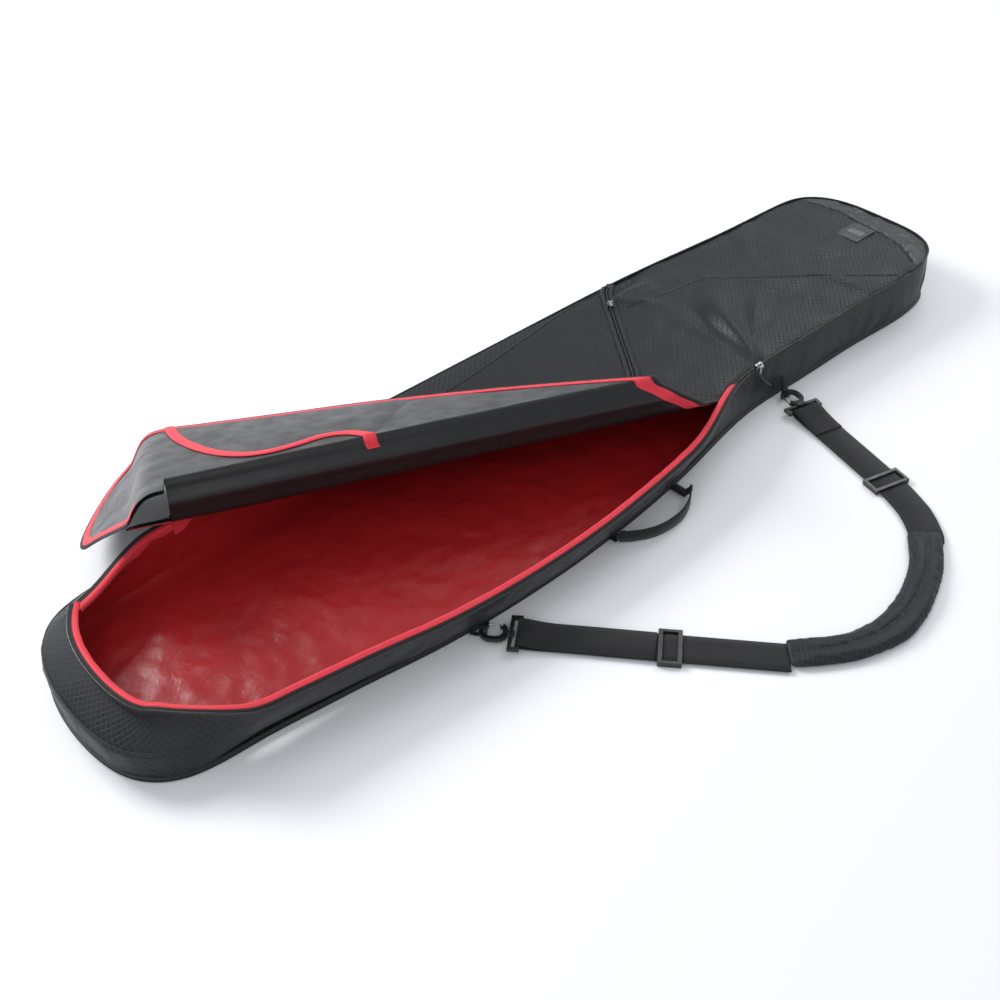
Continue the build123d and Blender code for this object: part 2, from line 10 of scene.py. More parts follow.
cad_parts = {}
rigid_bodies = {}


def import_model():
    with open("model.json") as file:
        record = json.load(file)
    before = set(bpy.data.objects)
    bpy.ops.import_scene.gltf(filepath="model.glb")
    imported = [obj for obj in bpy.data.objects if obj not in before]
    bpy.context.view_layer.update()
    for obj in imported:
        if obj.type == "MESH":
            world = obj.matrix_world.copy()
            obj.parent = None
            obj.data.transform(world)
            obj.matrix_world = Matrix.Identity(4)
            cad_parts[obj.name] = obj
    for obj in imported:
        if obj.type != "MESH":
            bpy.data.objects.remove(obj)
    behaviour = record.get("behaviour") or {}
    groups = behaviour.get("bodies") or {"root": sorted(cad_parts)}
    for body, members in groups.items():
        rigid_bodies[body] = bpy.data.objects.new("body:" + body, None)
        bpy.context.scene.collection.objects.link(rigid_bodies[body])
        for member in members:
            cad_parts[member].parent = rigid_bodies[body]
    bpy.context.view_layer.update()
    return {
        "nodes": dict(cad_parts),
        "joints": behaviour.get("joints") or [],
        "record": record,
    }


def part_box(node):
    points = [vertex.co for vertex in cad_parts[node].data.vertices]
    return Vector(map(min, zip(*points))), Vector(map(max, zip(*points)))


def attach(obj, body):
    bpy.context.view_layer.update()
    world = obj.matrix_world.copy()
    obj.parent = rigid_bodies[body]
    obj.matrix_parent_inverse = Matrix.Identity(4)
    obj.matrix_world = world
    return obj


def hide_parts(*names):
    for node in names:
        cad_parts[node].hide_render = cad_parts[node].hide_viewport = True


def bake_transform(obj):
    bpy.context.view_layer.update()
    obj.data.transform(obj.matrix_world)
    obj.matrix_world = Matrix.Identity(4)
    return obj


# Looks of a padded snowboard bag that lies open. Lengths are millimetres until a mesh is made.
# Every soft piece is shaped as it is when the bag is zipped shut, then carried to the open
# rest pose with the same turns that its bend uses, so it is right at both ends of the motion.

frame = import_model()

MM = 0.001
JOINTS = {joint["name"]: joint for joint in frame["joints"]}
COUPLINGS = frame["record"]["behaviour"]["couplings"]


# ------------------------------------------------------------------ places from the frame
def low_of(node):
    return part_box(node)[0] / MM


def high_of(node):
    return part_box(node)[1] / MM


def node_points(node):
    """All vertices of a CAD node at rest."""
    mesh = frame["nodes"][node].data
    flat = np.zeros(len(mesh.vertices) * 3)
    mesh.vertices.foreach_get("co", flat)
    return flat.reshape(-1, 3) / MM


TOP_Z = high_of("top_panel").z
LINING_Z = low_of("top_lining").z
FLOOR_Z = high_of("base_lining").z
SHOULDER_Z = high_of("tail_wall_panel").z
SHOULDER_START = -600.0
SHOULDER_FULL = -745.0
SHOULDER_INSET = 42.0
NEAR_SHOULDER_START = -672
NEAR_SHOULDER_RUN = 125
SLIDER_X = (low_of("main_slider").x + high_of("main_slider").x) / 2
ZIP_LEVEL = 77.0

# Places along the bag where its parts begin or end.
LEAN_TAIL, LEAN_TAIL_FULL = -775, -650
LEAN_NOSE, LEAN_NOSE_FULL = 300, 60
FAR_ZIP_X = -572
ZIP_END_X = 745
NOSE_RIM_X = 700


# ------------------------------------------------------------------ turning shut shapes open
def hinge_position(name):
    return Vector(JOINTS[name]["pos_m"]) / MM


def full_angle(name):
    """How far a hinge turns when the bag goes from open to shut, in radians."""
    for coupling in COUPLINGS:
        if coupling["joint"] == name:
            leader = JOINTS[coupling["follows"]]
            return math.radians(coupling["ratio"] * leader["range_deg"][1])
    return math.radians(JOINTS[name]["range_deg"][1])


def hinge_turn(name, share):
    """The hinge turned by a share of its full angle, about its place at rest."""
    place = Matrix.Translation(hinge_position(name))
    spin = Matrix.Rotation(share * full_angle(name), 4, Vector(JOINTS[name]["axis"]))
    return place @ spin @ place.inverted()


shut_at = {"root": Matrix.Identity(4)}
LID_FOLDS = ["lid_fold_1", "lid_fold_2", "lid_fold_3", "lid_fold_4", "lid_tail_end_fold"]
for fold_name in LID_FOLDS + ["near_wall_lean"]:
    fold_joint = JOINTS[fold_name]
    shut_at[fold_joint["child"]] = shut_at[fold_joint["parent"]] @ hinge_turn(fold_name, 1)


def carried(matrix, points):
    """Points moved by a 4 by 4 matrix."""
    grid = np.array(matrix)
    return points @ grid[:3, :3].T + grid[:3, 3]


def smooth(t):
    t = np.clip(t, 0, 1)
    return t * t * (3 - 2 * t)


class Bend:
    """Cloth between the two bodies of one hinge. Start and end are given on the shut shape."""

    def __init__(self, joint, start, end):
        self.joint = joint
        self.first = JOINTS[joint]["parent"]
        self.second = JOINTS[joint]["child"]
        self.open_first = shut_at[self.first].inverted()
        self.start = self.open_first @ Vector(start)
        self.end = hinge_turn(joint, -1) @ (self.open_first @ Vector(end))

    def turned(self, points, share):
        """Each point turned back from shut by its own share of the hinge's angle."""
        axis = np.array(Vector(JOINTS[self.joint]["axis"]).normalized())
        pivot = np.array(hinge_position(self.joint))
        angle = -share * full_angle(self.joint)
        arm = points - pivot
        cosine = np.cos(angle)[:, None]
        sine = np.sin(angle)[:, None]
        along = axis * (arm @ axis)[:, None]
        return pivot + arm * cosine + np.cross(axis, arm) * sine + along * (1 - cosine)

    def rest(self, shut_points):
        """The rest shape whose blend weights bring it back to the shut points."""
        points = carried(self.open_first, shut_points)
        start = np.array(self.start)
        span = np.array(self.end) - start
        share = np.full(len(points), 0.5)
        for _ in range(60):
            moved = self.turned(points, share)
            share = 0.4 * share + 0.6 * smooth((moved - start) @ span / (span @ span))
        return self.turned(points, share)

    def attach(self, piece):
        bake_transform(piece)


class Ride:
    """Cloth that stays with one body."""

    def __init__(self, body):
        self.body = body

    def rest(self, shut_points):
        return carried(shut_at[self.body].inverted(), shut_points)

    def attach(self, piece):
        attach(piece, self.body)


# The lid's fold lines when shut.
fold_lines = [shut_at[JOINTS[n]["parent"]] @ hinge_position(n) for n in LID_FOLDS]
fold_1 = fold_lines[0]
STRIP = (fold_lines[1] - fold_lines[0]).length
ACROSS = (fold_lines[1] - fold_lines[0]).normalized()


def across_lid(points):
    """How far points lie past the first fold line, toward the flap."""
    return (points - np.array(fold_1)) @ np.array(ACROSS)


def past_fold(distance):
    return fold_1 + ACROSS * distance


MID = STRIP / 2
FLAP_FROM = 2.5 * STRIP
FLAP_FULL = FLAP_FROM + 20.0
END_SPAN = 70.0
end_line = (shut_at["lid_flap"].to_3x3() @ Vector(JOINTS["lid_tail_end_fold"]["axis"])).normalized()
if end_line.y < 0:
    end_line = -end_line
END_WAY = Vector((-end_line.y, end_line.x, 0))
LID_BENDS = [
    ("fold_1", -math.inf, MID, Bend("lid_fold_1", past_fold(-MID), past_fold(MID))),
    ("fold_2", MID, MID + STRIP, Bend("lid_fold_2", past_fold(MID), past_fold(MID + STRIP))),
    ("fold_3", MID + STRIP, FLAP_FROM, Bend("lid_fold_3", past_fold(MID + STRIP), past_fold(FLAP_FROM))),
    ("flap", FLAP_FROM, math.inf, Bend("lid_fold_4", past_fold(FLAP_FROM), past_fold(FLAP_FULL))),
]
end_start = fold_lines[4]
LID_END = Bend("lid_tail_end_fold", end_start, end_start + END_WAY * END_SPAN)

lean_pivot = hinge_position("near_wall_lean")
TAIL_LEAN = Bend("near_wall_lean", (LEAN_TAIL, lean_pivot.y, lean_pivot.z),
                 (LEAN_TAIL_FULL, lean_pivot.y, lean_pivot.z))
NOSE_LEAN = Bend("near_wall_lean", (LEAN_NOSE, lean_pivot.y, lean_pivot.z),
                 (LEAN_NOSE_FULL, lean_pivot.y, lean_pivot.z))
ROOT = Ride("root")


# ------------------------------------------------------------------ the bag's outline
def unit(vectors):
    """Rows scaled to a length of 1."""
    return vectors / np.linalg.norm(vectors, axis=1)[:, None]


def sideways(way):
    """Plan directions turned a quarter turn to the left."""
    return np.column_stack([-way[:, 1], way[:, 0]])


def run_lengths(line):
    """Distance along a line at each of its points."""
    return np.concatenate([[0], np.cumsum(np.linalg.norm(np.diff(line, axis=0), axis=1))])


def at_lengths(line, length, at):
    """Points of a line at the given distances along it."""
    return np.column_stack([np.interp(at, length, line[:, k]) for k in range(line.shape[1])])


def ordered_ring(points, count):
    """A closed outline as evenly spaced plan points, from the nose round by the far side."""
    plan = np.unique(points[:, :2].round(2), axis=0)
    angle = np.arctan2(plan[:, 1] + 20, plan[:, 0]) % (2 * math.pi)
    plan = plan[np.argsort(angle)]
    loop = np.vstack([plan, plan[:1]])
    length = run_lengths(loop)
    even = at_lengths(loop, length, np.arange(count) / count * length[-1])
    for _ in range(6):
        even = (np.roll(even, 1, axis=0) + 2 * even + np.roll(even, -1, axis=0)) / 4
    return even


base_points = node_points("base_panel")
RING_COUNT = 1300
RING = ordered_ring(base_points[base_points[:, 2] < 0.6], RING_COUNT)
RING_IN = sideways(unit(np.roll(RING, -1, axis=0) - np.roll(RING, 1, axis=0)))
FAR_SHARE = smooth((SHOULDER_START - RING[:, 0]) / (SHOULDER_START - SHOULDER_FULL))
NEAR_SHARE = smooth((NEAR_SHOULDER_START - RING[:, 0]) / NEAR_SHOULDER_RUN)
SHARE = np.where(RING[:, 1] > 0, FAR_SHARE, NEAR_SHARE)


def station(x, near):
    """The outline sample at a place along the bag, on its near or its far side."""
    side = RING[:, 1] < 0 if near else RING[:, 1] > 0
    gap = np.abs(RING[:, 0] - x) + np.where(side, 0, 1e6)
    return int(np.argmin(gap))


def wall_points(index, inset, height):
    """Points of the shut wall at outline samples, an inset and a height, shoulder included."""
    ramp = np.clip((height - SHOULDER_Z) / (ZIP_LEVEL - SHOULDER_Z), 0, 1)
    depth = inset + SHOULDER_INSET * SHARE[index] * ramp
    plan = RING[index] + RING_IN[index] * depth[..., None]
    return np.dstack([plan[..., 0], plan[..., 1], np.broadcast_to(height, depth.shape)])


def rim_points(inset):
    """The whole shut zip line as plan points."""
    return RING + RING_IN * (inset + SHOULDER_INSET * SHARE)[:, None]


def plan_tree(points):
    """A search tree over plan points."""
    tree = kdtree.KDTree(len(points))
    for number, point in enumerate(points):
        tree.insert((point[0], point[1], 0), number)
    tree.balance()
    return tree


def tree_gap(tree, plan):
    """Distance from plan points to the nearest point of a tree."""
    return np.array([tree.find((p[0], p[1], 0))[2] for p in plan])


rim_tree = plan_tree(rim_points(0))


# ------------------------------------------------------------------ cloth relief
def swell(points, size, seed, waves=9):
    """Soft uneven waves of about the given size, between -1 and 1."""
    draw = np.random.RandomState(seed)
    total = np.zeros(len(points))
    warp = np.zeros(len(points))
    for _ in range(waves):
        heading = draw.normal(size=points.shape[1])
        heading /= np.linalg.norm(heading)
        pitch = 2 * math.pi / (size * draw.uniform(0.6, 1.7))
        phase = draw.uniform(0, 2 * math.pi)
        total += np.sin(points @ heading * pitch + phase + warp)
        warp = 0.7 * total
    return total / (0.62 * waves)


def creases(points, size, seed):
    """Narrow ridges between soft hollows, between 0 and 1."""
    return (1 - np.abs(np.clip(swell(points, size, seed), -1, 1))) ** 3


# ------------------------------------------------------------------ meshes
def crisp_borders(mesh):
    """Marks open borders sharp, so that cloth thickness doesn't darken the shading beside them."""
    edit = bmesh.new()
    edit.from_mesh(mesh)
    for edge in edit.edges:
        if edge.is_boundary:
            edge.smooth = False
    edit.to_mesh(mesh)
    edit.free()


def new_piece(name, points, faces, uvs, look, slot_name, body=None):
    """A smooth mesh with one UV per vertex, on a body if one is named. Points are at rest."""
    mesh = bpy.data.meshes.new(name)
    mesh.from_pydata((np.asarray(points) * MM).tolist(), [], [list(f) for f in faces])
    layer = mesh.uv_layers.new(name="Cloth")
    corner = np.zeros(len(mesh.loops), int)
    mesh.loops.foreach_get("vertex_index", corner)
    layer.data.foreach_set("uv", (np.asarray(uvs)[corner] * MM).ravel())
    mesh.materials.append(MAT[look])
    mesh.polygons.foreach_set("use_smooth", [True] * len(mesh.polygons))
    mesh.update()
    crisp_borders(mesh)
    piece = bpy.data.objects.new(name, mesh)
    bpy.context.scene.collection.objects.link(piece)
    if body:
        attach(piece, body)
    return piece


def thicken(piece, thickness):
    """Cloth thickness, laid behind the visible side."""
    solid = piece.modifiers.new("Thickness", "SOLIDIFY")
    solid.thickness = thickness * MM
    solid.offset = -1
    return piece


def grid_faces(rows, columns):
    """Quads of a grid whose vertices run row by row."""
    starts = [r * columns + c for r in range(rows - 1) for c in range(columns - 1)]
    return [(k, k + columns, k + columns + 1, k + 1) for k in starts]


def ring_faces(rings, count, flip=False):
    """Quads between closed rings of points, with a face on each end."""
    faces = []
    for r in range(rings - 1):
        for k in range(count):
            n = (k + 1) % count
            quad = (r * count + k, r * count + n, (r + 1) * count + n, (r + 1) * count + k)
            faces.append((quad[0], quad[3], quad[2], quad[1]) if flip else quad)
    first, last = tuple(range(count)), tuple((rings - 1) * count + k for k in range(count))
    return faces + ([first, last[::-1]] if flip else [first[::-1], last])


def arc_uv(grid):
    """UV of a grid: distance along the rows' first column, and distance across each row."""
    along = np.linalg.norm(np.diff(grid[:, 0], axis=0), axis=1)
    along = np.concatenate([[0], np.cumsum(along)])
    across = np.linalg.norm(np.diff(grid, axis=1), axis=2)
    across = np.concatenate([np.zeros((len(grid), 1)), np.cumsum(across, axis=1)], axis=1)
    return np.dstack([np.broadcast_to(along[:, None], across.shape), across]).reshape(-1, 2)


def swept(name, grid, carrier, look, slot_name, thickness=None, flip=False):
    """A sheet from a grid of shut points, carried to the rest pose; one that rides on a body is parented to it."""
    faces = grid_faces(*grid.shape[:2])
    if flip:
        faces = [f[::-1] for f in faces]
    piece = new_piece(name, carrier.rest(grid.reshape(-1, 3)), faces, arc_uv(grid), look, slot_name)
    carrier.attach(piece)
    if thickness:
        thicken(piece, thickness)
    return piece


def in_polygon(points, polygon):
    """Which plan points lie inside a closed polygon."""
    inside = np.zeros(len(points), bool)
    x, y = points[:, 0], points[:, 1]
    for (ax, ay), (bx, by) in zip(polygon, np.roll(polygon, -1, axis=0)):
        crosses = (ay > y) != (by > y)
        if ay != by:
            inside ^= crosses & (x < (bx - ax) * (y - ay) / (by - ay) + ax)
    return inside


def polyline_distance(points, line):
    """Distance from plan points to a polyline."""
    best = np.full(len(points), 1e9)
    for a, b in zip(line[:-1], line[1:]):
        span = b - a
        t = np.clip((points - a) @ span / (span @ span), 0, 1)
        gap = points - (a + t[:, None] * span)
        best = np.minimum(best, np.hypot(gap[:, 0], gap[:, 1]))
    return best


def outline_distance(points, outline):
    """Distance from plan points to a closed outline."""
    return polyline_distance(points, np.vstack([outline, outline[:1]]))


def curve_through(points, step):
    """A smooth plan curve through a few points, in even steps."""
    points = np.asarray(points, float)
    padded = np.vstack([2 * points[0] - points[1], points, 2 * points[-1] - points[-2]])
    dense = []
    for k in range(1, len(padded) - 2):
        a, b, c, d = padded[k - 1:k + 3]
        for t in np.linspace(0, 1, 24, endpoint=False):
            dense.append(0.5 * (2 * b + (c - a) * t + (2 * a - 5 * b + 4 * c - d) * t ** 2
                                + (3 * b - a - 3 * c + d) * t ** 3))
    dense = np.vstack([dense, points[-1:]])
    length = run_lengths(dense)
    return at_lengths(dense, length, np.linspace(0, length[-1], max(2, int(length[-1] / step) + 1)))


def sheet(outline, spacing, lines=()):
    """Plan triangles inside an outline, with extra points beside each seam line."""
    low, high = outline.min(0), outline.max(0)
    xs = np.arange(low[0], high[0], spacing)
    ys = np.arange(low[1], high[1], spacing)
    grid = np.stack(np.meshgrid(xs, ys), -1).reshape(-1, 2)
    grid[:, 0] += ((grid[:, 1] - low[1]) / spacing).round() % 2 * spacing / 2
    keep = in_polygon(grid, outline) & (outline_distance(grid, outline) > spacing * 0.5)
    for line in lines:
        keep &= polyline_distance(grid, line) > 6.5
    grid = grid[keep]
    extra = []
    for line in lines:
        side = sideways(unit(np.gradient(line, axis=0)))
        for offset in (-4.5, -2.2, -0.9, 0, 0.9, 2.2, 4.5):
            extra.append(line + side * offset)
    if extra:
        extra = np.vstack(extra)
        near_edge = outline_distance(extra, outline) < 2.0
        extra = extra[in_polygon(extra, outline) & ~near_edge]
        grid = np.vstack([grid, extra])
    count = len(outline)
    points = [Vector(p) for p in np.vstack([outline, grid])]
    edges = [(k, (k + 1) % count) for k in range(count)]
    found = delaunay_2d_cdt(points, edges, [], 1, 1e-4)
    return np.array([tuple(p) for p in found[0]]), [tuple(f) for f in found[2]]


CUT_STEP = 1.4


def carrier_cuts(carrier):
    """Where a piece gets extra edge loops so that it bends round instead of in facets."""
    for _, start, stop, bend in LID_BENDS:
        if bend is carrier:
            first, last = max(start, -MID), min(stop, FLAP_FULL)
            return [past_fold(d) for d in np.arange(first + CUT_STEP, last, CUT_STEP)]
    return []


def cut_pieces(name, points, faces, uvs, looks, slot_name, zones, thickness=None, picks=None):
    """Cuts a shut mesh along straight lines of the lid and carries each part to rest."""
    made = []
    for zone_name, planes, carrier in zones:
        mesh = bmesh.new()
        verts = [mesh.verts.new(p) for p in points]
        mesh.verts.index_update()
        layer = mesh.loops.layers.uv.new("Cloth")
        for number, face in enumerate(faces):
            polygon = mesh.faces.new([verts[k] for k in face])
            polygon.material_index = int(picks[number]) if picks is not None else 0
            polygon.smooth = True
            for loop in polygon.loops:
                loop[layer].uv = Vector(uvs[loop.vert.index]) * MM
        cuts = [(at, way, True) for at, way in planes] + [(at, ACROSS, False) for at in carrier_cuts(carrier)]
        for at, way, clear in cuts:
            everything = mesh.verts[:] + mesh.edges[:] + mesh.faces[:]
            bmesh.ops.bisect_plane(mesh, geom=everything, plane_co=at, plane_no=way, clear_outer=clear)
        if not mesh.faces:
            mesh.free()
            continue
        bmesh.ops.triangulate(mesh, faces=[f for f in mesh.faces if len(f.verts) > 4])
        rest = carrier.rest(np.array([tuple(v.co) for v in mesh.verts])) * MM
        for vert, place in zip(mesh.verts, rest):
            vert.co = place
        for edge in mesh.edges:
            edge.smooth = not edge.is_boundary
        data = bpy.data.meshes.new(f"{name}_{zone_name}")
        mesh.to_mesh(data)
        mesh.free()
        for look in looks:
            data.materials.append(MAT[look])
        piece = bpy.data.objects.new(f"{name}_{zone_name}", data)
        bpy.context.scene.collection.objects.link(piece)
        carrier.attach(piece)
        if thickness:
            thicken(piece, thickness)
        made.append(piece)
    return made


LID_ZONES = []
for zone_name, zone_start, zone_stop, zone_bend in LID_BENDS:
    zone_planes = []
    if zone_start > -math.inf:
        zone_planes += [(past_fold(zone_start), -ACROSS), (end_start, END_WAY)]
    if zone_stop < math.inf:
        zone_planes.append((past_fold(zone_stop), ACROSS))
    LID_ZONES.append((zone_name, zone_planes, zone_bend))
RISE_PLANES = [(past_fold(MID), -ACROSS), (past_fold(STRIP), ACROSS), (end_start, -END_WAY)]
LID_ZONES.append(("rise", RISE_PLANES, Ride("lid_roll_1")))
LID_ZONES.append(("end", [(past_fold(STRIP), -ACROSS), (end_start, -END_WAY)], LID_END))
FLAP_ZONES = LID_ZONES[3:]


def grid_mesh(grid):
    """Points, faces and UVs of a grid, for cut_pieces."""
    return grid.reshape(-1, 3), grid_faces(*grid.shape[:2]), arc_uv(grid)


def tube(path, radius, sides=8):
    """A round cord along a path of 3-D points, as points, faces and UVs."""
    path = np.asarray(path, float)
    radius = np.broadcast_to(radius, len(path))
    along = unit(np.gradient(path, axis=0))
    up = np.array([0, 0, 1.0])
    points, uvs = [], []
    run = 0.0
    for k, (place, way) in enumerate(zip(path, along)):
        if k:
            run += np.linalg.norm(place - path[k - 1])
        side = np.cross(way, up)
        if np.linalg.norm(side) < 1e-3:
            side = np.cross(way, (0, 1, 0))
        side /= np.linalg.norm(side)
        top = np.cross(side, way)
        for s in range(sides):
            angle = 2 * math.pi * s / sides
            points.append(place + radius[k] * (math.cos(angle) * side + math.sin(angle) * top))
            uvs.append((run, angle * radius[k]))
    return np.array(points), ring_faces(len(path), sides), np.array(uvs)


def joined(*meshes):
    """Several point, face and UV sets as one."""
    points, faces, uvs = [], [], []
    count = 0
    for part in meshes:
        points.append(part[0])
        faces += [tuple(k + count for k in f) for f in part[1]]
        uvs.append(part[2])
        count += len(part[0])
    return np.vstack(points), faces, np.vstack(uvs)


# ------------------------------------------------------------------ materials
class Shader:
    """Short ways to build a node material."""

    def __init__(self, name, colour, roughness, gloss=0.5, **inputs):
        self.material = bpy.data.materials.new(name)
        self.material.use_nodes = True
        self.tree = self.material.node_tree
        self.base = self.tree.nodes["Principled BSDF"]
        self.base.inputs["Base Color"].default_value = (*colour, 1)
        self.base.inputs["Roughness"].default_value = roughness
        self.base.inputs["Specular IOR Level"].default_value = gloss
        for key, value in inputs.items():
            self.base.inputs[key.replace("_", " ")].default_value = value
        self.coords = self.tree.nodes.new("ShaderNodeTexCoord")

    def feed(self, socket, value):
        if isinstance(value, bpy.types.NodeSocket):
            self.tree.links.new(value, socket)
        elif value is not None:
            socket.default_value = value

    def math(self, operation, a, b=None, c=None):
        node = self.tree.nodes.new("ShaderNodeMath")
        node.operation = operation
        for socket, value in zip(node.inputs, (a, b, c)):
            self.feed(socket, value)
        return node.outputs[0]

    def add(self, a, b):
        return self.math("ADD", a, b)

    def times(self, a, b):
        return self.math("MULTIPLY", a, b)

    def uv(self, turn=0.0):
        """The cloth's own coordinates in millimetres, turned by some degrees."""
        node = self.tree.nodes.new("ShaderNodeMapping")
        node.inputs["Rotation"].default_value = (0, 0, math.radians(turn))
        node.inputs["Scale"].default_value = (1.0 / MM,) * 3
        self.tree.links.new(self.coords.outputs["UV"], node.inputs["Vector"])
        return node.outputs[0]

    def split(self, vector):
        node = self.tree.nodes.new("ShaderNodeSeparateXYZ")
        self.tree.links.new(vector, node.inputs[0])
        return node.outputs[0], node.outputs[1]

    def noise(self, size, detail=2.0, rough=0.5):
        """Noise from 0 to 1 with features of the given size in millimetres."""
        node = self.tree.nodes.new("ShaderNodeTexNoise")
        node.inputs["Scale"].default_value = 1 / size
        node.inputs["Detail"].default_value = detail
        node.inputs["Roughness"].default_value = rough
        self.tree.links.new(self.uv(), node.inputs["Vector"])
        return node.outputs[0]

    def ramp(self, value, low, high, to_low=0.0, to_high=1.0):
        node = self.tree.nodes.new("ShaderNodeMapRange")
        self.feed(node.inputs[0], value)
        for socket, number in zip(node.inputs[1:5], (low, high, to_low, to_high)):
            socket.default_value = number
        return node.outputs[0]

    def lines(self, value, pitch, width):
        """1 on thin lines that repeat every pitch, 0 between them."""
        folded = self.math("PINGPONG", self.math("DIVIDE", value, pitch), 0.5)
        return self.ramp(folded, 0.5 * width / pitch, 0.25 * width / pitch)

    def mix(self, share, a, b):
        node = self.tree.nodes.new("ShaderNodeMix")
        node.data_type = "RGBA"
        self.feed(node.inputs[0], share)
        for socket, value in ((node.inputs[6], a), (node.inputs[7], b)):
            self.feed(socket, value if isinstance(value, bpy.types.NodeSocket) else (*value, 1))
        return node.outputs[2]

    def bump(self, height, strength, distance):
        node = self.tree.nodes.new("ShaderNodeBump")
        node.inputs["Strength"].default_value = strength
        node.inputs["Distance"].default_value = distance * MM
        self.tree.links.new(height, node.inputs["Height"])
        self.tree.links.new(node.outputs[0], self.base.inputs["Normal"])

    def colour(self, value):
        self.feed(self.base.inputs["Base Color"], value)

    def roughness(self, value):
        self.feed(self.base.inputs["Roughness"], value)


THREAD = 5.2


def ripstop(name, ground, thread, line_colour, pitch, turn, roughness, sheen=0.05):
    """Woven shell cloth with a raised grid of thicker threads."""
    s = Shader(name, ground, roughness, 0.28, Sheen_Weight=sheen, Sheen_Roughness=0.4)
    s.base.inputs["Sheen Tint"].default_value = (0.75, 0.82, 0.95, 1)
    u, v = s.split(s.uv(turn))
    grid = s.math("MAXIMUM", s.lines(u, pitch, 1.5), s.lines(v, pitch, 1.5))
    weave = s.times(s.math("SINE", s.times(u, THREAD)), s.math("SINE", s.times(v, THREAD)))
    patch = s.noise(55, 3)
    wear = s.ramp(s.noise(16, 5, rough=0.7), 0.56, 0.78)
    tone = s.mix(patch, ground, thread)
    tone = s.mix(s.times(grid, 0.85), tone, line_colour)
    tone = s.mix(s.times(wear, 0.35), tone, [c * 2.1 for c in thread])
    s.colour(tone)
    s.roughness(s.add(s.ramp(patch, 0.3, 0.7, roughness - 0.06, roughness + 0.08),
                      s.times(grid, 0.08)))
    height = s.add(s.times(grid, 0.8), s.times(weave, 0.12))
    height = s.add(height, s.times(s.noise(7, 3), 0.9))
    s.bump(height, 0.55, 0.5)
    return s.material


def coated(name, colour, second, roughness, crinkle, size, coat=0.0):
    """Smooth coated cloth with soft crinkles."""
    s = Shader(name, colour, roughness, 0.36, Coat_Weight=coat, Coat_Roughness=0.25)
    patch = s.noise(80, 3)
    fine = s.noise(size, 4, rough=0.55)
    s.colour(s.mix(patch, colour, second))
    s.roughness(s.ramp(fine, 0.3, 0.7, roughness - 0.07, roughness + 0.09))
    ridges = s.math("ABSOLUTE", s.math("SUBTRACT", fine, 0.5))
    grain = s.times(s.noise(1.4, 2), 0.10)
    s.bump(s.add(s.times(ridges, 2.0), grain), crinkle, 1.5)
    return s.material


def woven_tape(name, colour, second, roughness, rib, stitch, sheen, twill=0.0):
    """Narrow woven tape: ribs across it, and a row of stitches near each edge if it has them."""
    s = Shader(name, colour, roughness, 0.25, Sheen_Weight=sheen, Sheen_Roughness=0.5)
    u, v = s.split(s.uv())
    ribs_at = s.add(u, s.times(v, twill))
    ribs = s.math("SINE", s.times(ribs_at, 2 * math.pi / rib))
    fine = s.math("SINE", s.times(v, 2 * math.pi / 1.1))
    shade = s.noise(28, 3)
    tone = s.mix(shade, colour, second)
    tone = s.mix(s.ramp(ribs, -1, 1, 0, 0.35), tone, [c * 0.55 for c in colour])
    height = s.add(s.times(ribs, 0.35), s.times(fine, 0.12))
    for at in stitch:
        row = s.ramp(s.math("ABSOLUTE", s.math("SUBTRACT", v, at)), 0.9, 0.4)
        dash = s.ramp(s.math("PINGPONG", s.math("DIVIDE", u, 3.6), 0.5), 0.14, 0.2)
        seam = s.times(row, dash)
        tone = s.mix(s.times(seam, 0.5), tone, [min(1, c * 1.5 + 0.02) for c in colour])
        height = s.math("SUBTRACT", height, s.times(row, 1.2))
        height = s.add(height, s.times(seam, 1.6))
    s.colour(tone)
    s.bump(s.add(height, s.times(s.noise(9, 3), 0.9)), 0.5, 0.5)
    return s.material


def object_grain(s, size, detail=3.0):
    """Noise in the object's own space, for hard parts without cloth coordinates."""
    node = s.tree.nodes.new("ShaderNodeTexNoise")
    node.inputs["Scale"].default_value = 1 / (size * MM)
    node.inputs["Detail"].default_value = detail
    s.tree.links.new(s.coords.outputs["Object"], node.inputs["Vector"])
    return node.outputs[0]


def moulded(name, colour, roughness):
    """Moulded plastic with a faint texture and rubbed spots."""
    s = Shader(name, colour, roughness, Coat_Weight=0.1)
    rub = s.ramp(object_grain(s, 9, 4), 0.5, 0.75)
    s.colour(s.mix(rub, colour, [c * 2.2 + 0.006 for c in colour]))
    s.roughness(s.ramp(rub, 0, 1, roughness, roughness - 0.12))
    s.bump(object_grain(s, 0.5, 2), 0.12, 0.2)
    return s.material


def plated(name, colour, roughness):
    """Plated metal with fine scratches and darker spots."""
    s = Shader(name, colour, roughness, Metallic=1.0)
    spots = object_grain(s, 4, 4)
    s.colour(s.mix(s.ramp(spots, 0.35, 0.7), [c * 0.55 for c in colour], colour))
    s.roughness(s.ramp(spots, 0.3, 0.7, roughness + 0.12, roughness - 0.05))
    s.bump(object_grain(s, 0.7, 3), 0.2, 0.15)
    return s.material


